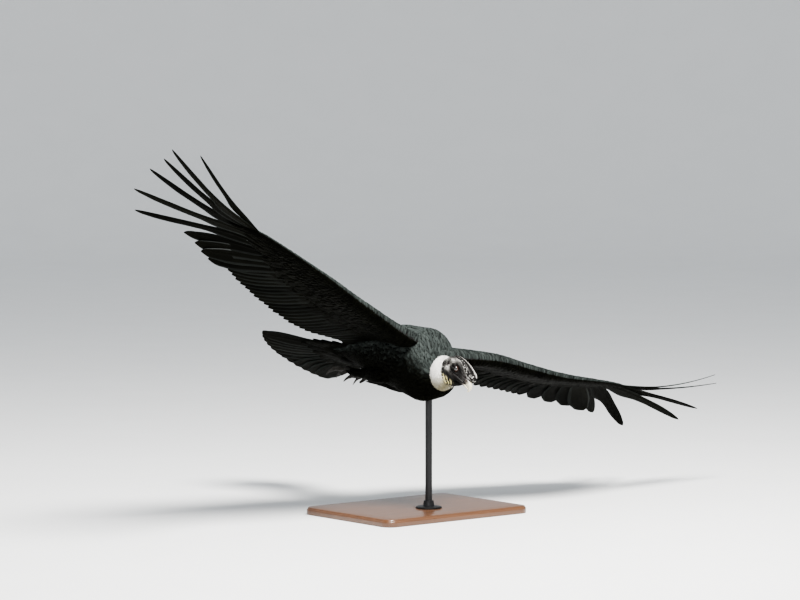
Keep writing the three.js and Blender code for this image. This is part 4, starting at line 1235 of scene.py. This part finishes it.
# %% Folds, lids and neck, and one skin over them
def rope(line, radii, squash=1.0, sides=14, count=40):
    """A fold of skin: limb rings along a line in the head's frame."""
    return tube(head(limb_rings(line, radii, squash, sides, count)))


def lid(side, height, reach, radius):
    """A lid's margin: an arc over the eyeball, at height times the cosine of its turn, as a thin rope."""
    turn = np.radians(np.linspace(-88, 88, 9))
    ball = np.stack([np.sin(turn) * 10.6 + 0.5, side * (26.5 + reach * np.cos(turn) ** 0.7),
                     3 + height * np.cos(turn) - 1.2 * np.sin(turn)], -1)
    return rope(ball, [radius * 0.7, radius, radius * 1.1, radius, radius * 0.7], 1.0, 12, 26)


WATTLE_LINE = [(58, 0, -21), (44, 0, -32), (22, 0, -44), (-8, 0, -53), (-42, 0, -50), (-64, 0, -38)]
FOLDS = [
    # line and radii on the left side: brow, over the eye, two edges of the mouth, ear, cheek, throat
    ([(40, 14, 8), (24, 23, 15.5), (2, 27, 19), (-22, 28, 14), (-37, 28, -2), (-40, 26, -20)],
     [2.5, 3.8, 5.2, 6, 6.2, 6, 4]),
    ([(44, 15, 3), (30, 21, 9), (12, 26.5, 14.5), (-8, 29, 10), (-14, 30, -4)], [1.8, 2.6, 3, 2.8, 1.6]),
    ([(60, 11, -15), (40, 17, -17.5), (20, 24.5, -18), (8, 27, -14)], [2, 2.8, 3.2, 2]),
    ([(56, 10, -21), (36, 14, -24), (14, 20, -25), (0, 23, -22)], [2, 2.6, 3, 2]),
    ([(2, 30, -9), (-10, 31, -15), (-24, 30, -18), (-36, 27, -24)], [1.6, 3, 3.4, 2.5]),
    ([(30, 20, -8), (18, 26.5, -11), (6, 30, -10)], [1.5, 2.4, 1.6]),
    ([(-30, 18, -25), (-44, 16, -36), (-58, 14, -44)], [3, 5, 4], 0.8),
]
LIDS = [
    # height, reach and radius: the upper and the lower margin, then a fold above and one below
    (6.2, 9.2, 2.3), (-5.4, 9.2, 1.9), (8.6, 6.4, 3.0), (-8.0, 6.6, 2.6),
]
forms = [tube(head(skull_rings())), tube(head(comb_rings())),
         rope(WATTLE_LINE, [4, 8, 12, 14, 15, 12], 0.66)]
for side in (LEFT, RIGHT):
    forms += [rope(on_side(line, side), *shape) for line, *shape in FOLDS]
    forms += [lid(side, *row) for row in LIDS]
BARE_NECK = 36.0
neck = neck_rings(BARE_NECK, 0.6, 0.985, 48, 40)
folds = smooth([[0, 0.5], [0.14, 3.2], [0.28, 0.2], [0.42, 3.4], [0.56, 0.4], [0.7, 3.2], [0.86, 0.6], [1, 0]],
               np.linspace(0, 1, 40))
centre = neck.mean(1, keepdims=True)
neck = centre + (neck - centre) * (1 + folds[:, None, None] / BARE_NECK)
forms.append(tube(neck))
head_skin = remeshed("skin_head", forms, 1.15, 4)
print("head", len(head_skin.data.vertices), "vertices")

# %% [markdown]
# The creases follow the skin they lie in: rings round the neck, arcs round the eye, lumps on the comb, and
# a fine leather grain everywhere. The ear, the nostril and the gape are pushed in with the same step.

# %% Crease the skin
def read(mesh, what):
    """A mesh's points or normals as one array of rows."""
    values = np.empty(len(mesh.vertices) * 3, np.float32)
    mesh.vertices.foreach_get(what, values)
    return values.reshape(-1, 3).astype(float)


def emboss(mesh, depth):
    """Move each point of a skin along its own normal, by its depth in millimetres."""
    moved = read(mesh, "co") + read(mesh, "normal") * depth[:, None] / 1000
    mesh.vertices.foreach_set("co", moved.astype(np.float32).ravel())
    mesh.update()


bird_points = (read(head_skin.data, "co") * 1000 - PLACE) @ BIRD
p = (bird_points - HEAD_PLACE) @ HEAD_TURN
outer = np.abs(p[:, 1])
comb_low, comb_high = np.moveaxis(smooth(COMB, p[:, 0])[:, :2], -1, 0)
level = (p[:, 2] - comb_low) / (comb_high - comb_low)
on_comb = ease(level, 0.12, 0.32) * ease(p[:, 0], -44, -34) * (outer < 17)
# rim is a painted highlight along the comb's ridge, and groove a painted shade under it
rim = on_comb * ease(level, 0.95, 0.99)
groove = on_comb * ease(level, 0.56, 0.66) * ease(level, 0.95, 0.88) * ease(p[:, 0], 80, 66)
eye_away = np.linalg.norm((p - np.stack([13 + 0 * outer, np.sign(p[:, 1]) * 24.5, 3 + 0 * outer], -1))
                          * [1, 0.7, 1.15], axis=1)
near_eye = np.exp(-((eye_away - 15) / 6) ** 2)
line = np.stack([smooth(NECK, t) for t in np.linspace(0.6, 1, 41)])
gap = np.linalg.norm(bird_points[:, None] - line[None], axis=2)
neck_way = np.linspace(0.6, 1, 41)[gap.argmin(1)] * NECK_LENGTH
on_neck = ease(p[:, 0], -34, -48)
warp = 5 * (lattice(p / 11, 3) - 0.5)
arcs = 0.5 + 0.5 * np.cos((eye_away + warp) * 2.1)
rings = 0.5 + 0.5 * np.cos((neck_way + 1.6 * warp) * 1.5)
coarse = ridged(p * [0.8, 1, 1.1], 6.5, 1) ** 2
middle = ridged(p + warp[:, None], 3.4, 2) ** 2
fine = ridged(p, 1.9, 4)
lumps = lattice(p / 5.5, 6)
relief = (1.0 * coarse + 1.05 * middle) * (1 - on_comb * 0.45) + 0.5 * fine + 1.5 * on_comb * lumps
relief += near_eye * (arcs - 0.5) * 1.2 + on_neck * (rings - 0.4) * 0.9
relief *= 1 - 0.75 * rim
ear = np.exp(-((p[:, 0] + 22) / 3.6) ** 2 - ((p[:, 2] + 4) / 4.4) ** 2) * (outer > 20)
nostril = np.exp(-((p[:, 0] - 52) / 4.2) ** 2 - ((p[:, 2] - 0.5) / 1.9) ** 2) * (outer > 6)
gape = np.exp(-((p[:, 2] + 19.8) / 1.0) ** 2) * ease(p[:, 0], 8, 16) * (outer > 6)
inset = 3.4 * ear + 2.6 * nostril + 1.8 * gape
dewlap = ease(p[:, 2], -33, -42) * ease(p[:, 0], 34, 20) * ease(p[:, 0], -50, -30)
stripe = 0.5 + 0.5 * np.cos(2 * np.pi * (0.79 * p[:, 0] + 0.62 * p[:, 2] + 0.8 * warp) / 10.5)
relief += dewlap * (2.0 * stripe - 1.1)
calm = 1 - 0.7 * ease(p[:, 0], 50, 62) * (1 - on_comb)
emboss(head_skin.data, (relief - 1.0) * 0.75 * calm - inset)
print("creases from", round(float(relief.min()), 2), "to", round(float(relief.max()), 2))

# %% [markdown]
# The colour follows the same numbers. Crests of the comb and brow are pale and creases are dark, partly the
# skin's own mottling and partly painted highlight and shade; the wattle is dull gold. A painted highlight runs
# along the comb's ridge, and painted shade round the eye, in the groove under the ridge, on the lore, the crown
# and under the jaw, and in the ear and the nostril, keeps the skin black whatever the relief says.

# %% Mark the regions and colour the skin
wattle = dewlap * ease(p[:, 2], -36, -46) * ease(outer, 3, 7) * ease(stripe, 0.35, 0.75)


def patch_at(x, z, reach):
    """1 at a place on both sides of the head, falling off as a bell over the given reach."""
    return np.exp(-(((p[:, 0] - x) ** 2 + (p[:, 2] - z) ** 2) / reach**2))


# brow: places with strong pale crests, partly the skin's own pale folds and partly a painted highlight on them
brow = patch_at(-14, 17, 10) + patch_at(-12, -15, 9) + 0.6 * patch_at(-38, 4, 9)
mark(head_skin.data, {
    "relief": np.clip(relief / 2.4, 0, 1),
    "rim": rim,
    "comb": on_comb * (1 - 0.9 * groove),
    "wattle": wattle,
    "brow": brow,
    # hollow: painted shade in the ear and the nostril, and a dark line along the gape
    "hollow": np.clip(inset / 1.6, 0, 1),
    # shade: painted shade round the eye, in the comb's groove, on the lore, the crown and under the jaw
    "shade": np.clip(near_eye * 0.9 + groove + patch_at(34, -8, 20)
                     + patch_at(-32, 27, 13) * (1 - on_comb * 0.6)
                     + 0.9 * ease(p[:, 2], -18, -30) * (1 - dewlap), 0, 1),
})


def bare_skin():
    """Dark in the creases, pale on their crests, partly the skin's own mottling and partly painted highlight
    and shade: the mix is the relief, sharpened, times a region's share.
    """
    finish = Finish("bare_skin")
    relief, comb = finish.attribute("relief"), finish.attribute("comb")
    mottle = finish.noise(120, 4, 0.6)
    blotch = finish.noise(38, 3)
    fleck = finish.noise(260, 3, 0.6)
    crest = (relief * (1.9 - comb * 1.25) + mottle * (0.5 + comb * 0.2) + blotch * 0.37
             + fleck * (0.4 + comb * 0.25) - comb * 0.06 - 1.2).step(0.18, 0.3)
    # the shade value takes the pale away where painted shade lies; brow adds pale folds, partly painted
    # highlight
    amount = (comb * 0.6 + finish.attribute("brow") * 0.55 + 0.045) * (1 - finish.attribute("shade") * 0.94)
    # rim adds the painted highlight along the comb's ridge
    pale = (crest * amount + finish.attribute("rim") * (mottle * 0.6 + 0.6)).clip()
    dark = finish.mix(blotch, (0.002, 0.0019, 0.002), (0.0075, 0.0065, 0.006))
    base = finish.mix(pale, dark, (0.66, 0.64, 0.6))
    gold = (finish.attribute("wattle") * (mottle * 1.2 + 0.25)).clip()
    base = finish.mix(gold, base, (0.6, 0.53, 0.27))
    # hollow: painted shade in the ear and the nostril, and a dark line along the gape
    base = finish.mix(finish.attribute("hollow"), base, (0.012, 0.008, 0.008))
    pores = finish.cells(900)
    bump = finish.bump(pores * 0.6 + finish.noise(600, 3), 0.5, 0.0005)
    return finish.done(Base_Color=base, Roughness=(0.5 + mottle * 0.2 - relief * 0.08).clip(), Normal=bump,
                       Specular_IOR_Level=0.1)


place(head_skin, "bare_skin", "head", "neck", "comb", material=bare_skin())

# %% [markdown]
# ## Eyes
# The eye is a wet ball with a clear bulge in front, a brown iris and a round pupil. Its colour depends
# only on the angle from the line of sight, which is kept on each point.

# %% Eyeballs
def eye_finish():
    """Pupil, iris and rim follow each other by soft steps of the angle from the line of sight."""
    finish = Finish("eye_wet")
    out = finish.attribute("out")
    streak = finish.noise(700, 3)
    iris = finish.mix(streak, (0.012, 0.0055, 0.0035), (0.045, 0.019, 0.0105))
    base = finish.mix(out.step(0.175, 0.19), (0.001, 0.001, 0.001), iris)
    base = finish.mix(out.step(0.4, 0.46), base, (0.006, 0.004, 0.0035))
    return finish.done(Base_Color=base, Roughness=0.12 + out * 0.1, Coat_Weight=1.0, Coat_Roughness=0.02,
                       Normal=finish.bump(streak, 0.03, 0.0002))


EYE_FINISH = eye_finish()
for side, label in SIDES:
    angle, turn = np.meshgrid(np.linspace(0.02, np.pi - 0.02, 40),
                              np.linspace(0, 2 * np.pi, 40, endpoint=False), indexing="ij")
    gaze = unit(np.array([0.24, side * 0.96, 0.02]))
    across = unit(np.cross(gaze, [0, 0, 1]))
    above = np.cross(across, gaze)
    radius = 10.2 + 0.9 * np.exp(-(angle / 0.55) ** 2)
    ball = radius[..., None] * (gaze * np.cos(angle)[..., None] + np.sin(angle)[..., None]
                                * (across * np.cos(turn)[..., None] + above * np.sin(turn)[..., None]))
    points, faces = tube(head(ball + [13, side * 24.6, 3]))
    eye = new_object("eyeball_" + label, in_room(points), faces, values={"out": (angle / np.pi).ravel()})
    place(eye, "eye", "eye_" + label, material=EYE_FINISH)

# %% [markdown]
# ## Bill
# The bill is horn: dark at its base and ivory towards the hook. The upper half turns down over the
# lower one. Both are sections carried along a bending line, with a keel along the top.

# %% Horn in two halves
UPPER_BILL = [
    # x, centre height, half-width, up, down, slope of the section
    [57, -3, 11, 10, 11.5, -2], [62.3, -3.5, 11, 10, 11.5, 0], [72, -4, 10, 10, 11, 8],
    [82, -7, 8.4, 9.5, 9.5, 26], [90, -12, 6.8, 8, 7.5, 50], [94.5, -19, 5, 5.6, 5, 74],
    [95, -25.5, 3, 3.2, 3, 92], [93.6, -30.5, 1, 1.1, 1, 104],
]
LOWER_BILL = [
    [57, -19.5, 8.6, 3, 4.5, 0], [62.3, -19.5, 8.5, 3, 4.5, 0], [72, -19.5, 7.4, 2.6, 4.6, 0],
    [82, -20, 5.8, 2.2, 4.4, -4], [89, -20.5, 3.8, 1.8, 3.2, -8], [92.2, -20.3, 1, 0.7, 1, -10],
]


def bill_half(rows, keel, count=44, sides=40):
    """Sections tipped by the slope: across w cos, above and below reach sin, with the sine sharpened on top."""
    x, z, wide, up, down, slope = along_rows(rows, np.linspace(0, 1, count)).T
    slope = np.radians(slope)[:, None]
    turn = np.linspace(0, 2 * np.pi, sides, endpoint=False)[None, :]
    lift = np.sin(turn)
    level = np.where(lift > 0, up[:, None] * lift, down[:, None] * lift)
    side = wide[:, None] * np.cos(turn) * (1 - keel * np.clip(lift, 0, 1) ** 3)
    rings = np.stack([x[:, None] + level * np.sin(slope), side, z[:, None] + level * np.cos(slope)], -1)
    along = np.broadcast_to(np.linspace(0, 1, count)[:, None], (count, sides))
    return head(rings), along


def horn():
    """Growth lines are a sine of the way along plus noise; a soft step ends the dark base."""
    finish = Finish("horn")
    along = finish.attribute("along")
    growth = finish.noise(60, 4, 0.6)
    line = ((along * 60 + growth * 3).math("SINE") * 0.5 + 0.5) * 0.4
    base = finish.mix((growth * 0.6 + line).clip(), (0.46, 0.4, 0.28), (0.66, 0.62, 0.5))
    base = finish.mix((along + growth * 0.16 - 0.08).step(0.46, 0.26), base, (0.045, 0.036, 0.03))
    return finish.done(Base_Color=base, Roughness=0.32 + growth * 0.15, Coat_Weight=0.25, Coat_Roughness=0.2,
                       Normal=finish.bump(growth + line, 0.2, 0.0006))


HORN = horn()
for name, rows, keel, node in (("bill_hook", UPPER_BILL, 0.35, "bill_upper"),
                               ("bill_jaw", LOWER_BILL, 0.0, "bill_lower")):
    rings, along = bill_half(rows, keel)
    points, faces = tube(rings)
    piece = new_object(name, in_room(points), faces, values={"along": along.ravel()})
    place(piece, "bill", node, material=HORN)

# %% [markdown]
# ## Legs
# A condor's feet are pale grey and scaly, with blunt claws, because it walks more than it grips. In the
# air they lie back under the tail with the toes loosely closed.

# %% Shanks, feet and claws
SHANK = [(-214, 45, -144), (-228, 44, -144), (-290, 42, -144), (-344, 40, -134)]
ANKLE = np.array([-344, 40, -134.0])
TOES = [
    # name, sideways angle, length, radius
    ["inner", -16, 58, 7.5], ["middle", 1, 82, 8], ["outer", 18, 60, 7.5],
]


def toe_line(spread, length):
    """A toe's line on the left foot: straight back from the ankle at an angle, dropping at the tip."""
    turn = np.radians(spread)
    far = np.array([-0.06, 0, 0.5, 0.85, 1])[:, None] * length
    return ANKLE + np.hstack([-far * np.cos(turn), far * np.sin(turn), -np.array([[-1], [0], [4], [7], [12]])])


def scaly():
    """Small scales: the distance to the edge of a cell, stepped, is the seam between two scales."""
    finish = Finish("scaly_skin")
    at = finish.place()
    small = finish.cells(230, at, "DISTANCE_TO_EDGE")
    tone = finish.noise(45, 4)
    seam = small.step(0.0, 0.09)
    # the scales are much darker than a condor's pale grey feet: the legs' own dark grey, with painted shade for
    # their place under the tail
    base = finish.mix((tone * 0.9 + seam * 0.2).clip(), (0.009, 0.0085, 0.0075), (0.03, 0.028, 0.025))
    base = finish.mix(1 - seam, base, (0.004, 0.0038, 0.0034))
    return finish.done(Base_Color=base, Roughness=0.55 + tone * 0.15, Normal=finish.bump(seam, 0.6, 0.0012),
                       Specular_IOR_Level=0.1)


def claw_horn():
    """Horn that gets darker along the claw, clouded by noise."""
    finish = Finish("claw_horn")
    along = finish.attribute("along")
    growth = finish.noise(140, 4)
    base = finish.mix((along * 0.5 + growth * 0.5).clip(), (0.03, 0.027, 0.024), (0.009, 0.008, 0.0075))
    return finish.done(Base_Color=base, Roughness=0.4 + growth * 0.15, Normal=finish.bump(growth, 0.2, 0.0005),
                       Specular_IOR_Level=0.2)


SCALY, CLAW = scaly(), claw_horn()
print("three toes in front,", max(length for _, _, length, _ in TOES), "mm the longest")

# %% Feet of both sides
for side, label in SIDES:
    bones = [tube(limb_rings(on_side(SHANK, side), [10.5, 11, 9.5, 9.5, 12]))]
    for name, spread, length, radius in TOES:
        line = on_side(toe_line(spread, length), side)
        t = np.linspace(0, 1, 25)
        pads = radius * (1.12 - 0.35 * t) * (1 + 0.1 * np.cos(t * 22))
        bones.append(tube(limb_rings(line, pads, 1.0, 18, 40)))
        tip, out = line[-1], unit(line[-1] - line[-2])
        far = np.array([-3, 0, 9, 17, 23.0])[:, None]
        hook = tip + out * (far + 0.9) + np.hstack([0 * far, 0 * far, -0.016 * far**2])
        rings = limb_rings(hook, np.array([0.64, 0.62, 0.52, 0.34, 0.12]) * radius, 0.8, 18, 24)
        points, faces = tube(rings)
        along = np.repeat(np.linspace(0, 1, len(rings)), rings.shape[1])
        claw = new_object("claw_" + name + "_" + label + "_horn", in_room(points), faces,
                          values={"along": along})
        place(claw, "claw", "claw_" + name + "_" + label, material=CLAW)
    hind = ANKLE + [(6, 0, 2), (2, 4, -12), (-16, 6, -24)]
    bones.append(tube(limb_rings(on_side(hind, side), [8.5, 7.5, 6, 4.6])))
    foot = remeshed("foot_" + label + "_scaly", bones, 1.2, 2)
    q = (read(foot.data, "co") * 1000 - PLACE) @ BIRD
    plates = np.abs(np.sin(-q[:, 0] * 0.62)) ** 0.5
    upper = read(foot.data, "normal") @ BIRD
    push = 0.5 * plates * ease(upper[:, 2], -0.3, 0.5) + 0.5 * lattice(q / 2.6, 9)
    emboss(foot.data, push - 0.5)
    place(foot, "leg_skin", "shank_" + label, "foot_" + label, material=SCALY)

# %% [markdown]
# ## Stand
# The stand is plain: a varnished wooden base, a turned flange and a rod in satin black steel. The CAD
# flange already has the right shape and only takes its finish. The base and the rod are drawn again
# with softened edges, the base from a profile of its edge and the rod as on a lathe.

# %% Wood and steel
def dark_wood():
    """Grain and pores are noises drawn out along the board, because their scale is small that way."""
    finish = Finish("varnished_wood")
    at = finish.place()
    ring = finish.noise(6, 5, 0.6, at=at, stretch=(0.6, 9, 9))
    pore = finish.noise(90, 3, 0.6, at=at, stretch=(0.12, 4, 4))
    base = finish.mix((ring * 0.8 + pore * 0.35).clip(), (0.035, 0.014, 0.006), (0.16, 0.07, 0.03))
    return finish.done(Base_Color=base, Roughness=0.3 + pore * 0.15, Coat_Weight=0.4, Coat_Roughness=0.12,
                       Normal=finish.bump(pore, 0.15, 0.0005))


def black_steel():
    """Satin metal: a fine speck changes its tone, its gloss and its bump a little."""
    finish = Finish("satin_black_steel")
    speck = finish.noise(300, 3)
    base = finish.mix(speck, (0.012, 0.012, 0.013), (0.03, 0.03, 0.031))
    return finish.done(Base_Color=base, Metallic=0.6, Roughness=0.38 + speck * 0.12,
                       Normal=finish.bump(speck, 0.08, 0.0003))


WOOD, STEEL = dark_wood(), black_steel()
print("finishes of the stand made")


# %% Base, rod and flange
def turned_piece(rows, count, sides=96):
    """A lathe's shape round the rod's axis, from rows of [share, radius, height], bottom to top."""
    radius, z = np.moveaxis(smooth(rows, np.linspace(0, 1, count)), -1, 0)[:, :, None]
    turn = np.linspace(0, 2 * np.pi, sides, endpoint=False)[None, :]
    return np.stack([radius * np.cos(turn), radius * np.sin(turn) + ROD_Y, z + 0 * turn], -1)


ROD_Y = -66
ROD_PROFILE = [[0, 12, 26.2], [1, 12, 489.8]]
BASE_LENGTH, BASE_WIDTH, BASE_CORNER = 640, 480, 40
BASE_EDGE = [
    # how far the edge lies inside the outline, and its height: a chamfer under, a small cove and a round above
    [5, 0], [1.5, 0.8], [0.4, 2.4], [0, 4], [0, 15], [0.3, 17.4], [1.2, 19.2], [2.4, 20.2], [3.2, 20.8],
    [3.6, 22.4], [4.6, 24.2], [6.4, 25.5], [9, 26], [60, 26], [200, 26],
]


def base_ring(inset, z, sides=160):
    """The base's rounded rectangle, drawn in by inset: corner centres plus a circle's points."""
    turn = (np.arange(sides) + 0.5) * 2 * np.pi / sides
    corner = max(BASE_CORNER - inset, 8)
    x = np.sign(np.cos(turn)) * (BASE_LENGTH / 2 - inset - corner) + corner * np.cos(turn)
    y = np.sign(np.sin(turn)) * (BASE_WIDTH / 2 - inset - corner) + corner * np.sin(turn)
    return np.stack([x, y, np.full(sides, float(z))], -1)


for name, rings, slot, node, finish in (
    ("stand_base_wood", np.array([base_ring(*row) for row in BASE_EDGE]), "stand_wood", "stand_base", WOOD),
    ("stand_rod_steel", turned_piece(ROD_PROFILE, 12), "stand_metal", "stand_rod", STEEL),
):
    points, faces = tube(rings)
    piece = new_object(name, points / 1000, faces)
    piece.data.set_sharp_from_angle(angle=np.radians(35))
    place(piece, slot, node, material=finish)

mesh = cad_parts["stand_flange"].data
mesh.materials.clear()
mesh.materials.append(STEEL)

# %% [markdown]
# ## Floor, light and camera
# A pale floor that sweeps up far out, all round the model, leaves no horizon from any side. One large
# lamp from above and a weak one at the side keep the shadows soft, as in a museum.

# %% Floor of the studio
# metres: flat up to the bend, a quarter round, then a wall, all turned round the model; it faces inwards
BEND_START, BEND_RADIUS, WALL_TOP, FLOOR_SIDES = 15, 5, 10, 96
flat = [0.02, 1, 3, 6, 9, 12]
bend = np.linspace(0, np.pi / 2, 24)
radius = np.concatenate([flat, BEND_START + BEND_RADIUS * np.sin(bend), [BEND_START + BEND_RADIUS]])[:, None]
height = np.concatenate([np.zeros(len(flat)), BEND_RADIUS * (1 - np.cos(bend)), [WALL_TOP]])[:, None]
turn = np.linspace(0, 2 * np.pi, FLOOR_SIDES, endpoint=False)[None, :]
room = np.stack([radius * np.cos(turn), radius * np.sin(turn), height + 0 * turn], -1)
walls, ends = tube_faces(len(radius), FLOOR_SIDES)
floor = new_object("studio_floor", room.reshape(-1, 3), [walls[:, ::-1], ends[:1, ::-1]])
paper = Finish("pale_paper")
pale = paper.mix(paper.noise(3, 3), (0.82, 0.82, 0.815), (0.86, 0.86, 0.855))
floor.data.materials.append(paper.done(Base_Color=pale, Roughness=0.9))
print("floor round the model, out to", BEND_START + BEND_RADIUS, "m")



# %% Light
BODY_HEIGHT = 0.6


def lamp(name, place, size, power, colour):
    """A round lamp that looks at the middle of the bird; places and size in metres, power in watts."""
    light = bpy.data.lights.new(name, "AREA")
    light.shape, light.size, light.energy, light.color = "DISK", size, power, colour
    thing = add_object(name, light)
    thing.location = place
    aim = Vector((0, 0, BODY_HEIGHT)) - Vector(place)
    thing.rotation_euler = aim.to_track_quat("-Z", "Y").to_euler()


lamp("key", (-0.6, -2.4, 5.0), size=2.2, power=860, colour=(1.0, 0.985, 0.96))
lamp("fill", (-4.5, -5.0, 2.6), size=3.0, power=110, colour=(1, 1, 1))
world = bpy.data.worlds.new("room")
world.use_nodes = True
background = world.node_tree.nodes["Background"].inputs
background["Color"].default_value, background["Strength"].default_value = (0.9, 0.95, 1, 1), 0.66
bpy.context.scene.world = world
print("lamps", [light.name for light in bpy.data.lights])

# %% [markdown]
# A long lens stands twelve metres away, where the photograph was taken from, so the near wing is hardly
# larger than the far one. Its axes are the columns of its matrix: right, up and backwards.

# %% Camera
camera = add_object("camera", bpy.data.cameras.new("camera"))
camera.data.lens, camera.data.sensor_width = 155.5, 36
matrix = np.eye(4)
matrix[:3, :3] = np.transpose([[0.7749, -0.6320, 0], [0.0441, 0.0541, 0.9976], [-0.6305, -0.7731, 0.0698]])
matrix[:3, 3] = -7.627, -9.260, 1.587
camera.matrix_world = Matrix(matrix)
bpy.context.scene.camera = camera
print("camera", round(float(np.linalg.norm(matrix[:3, 3])), 2), "m from the middle of the stand")

# %% [markdown]
# ## Closing

# a little more contrast, so that black plumage stays black beside the white ruff
bpy.context.scene.view_settings.look = "AgX - Medium High Contrast"
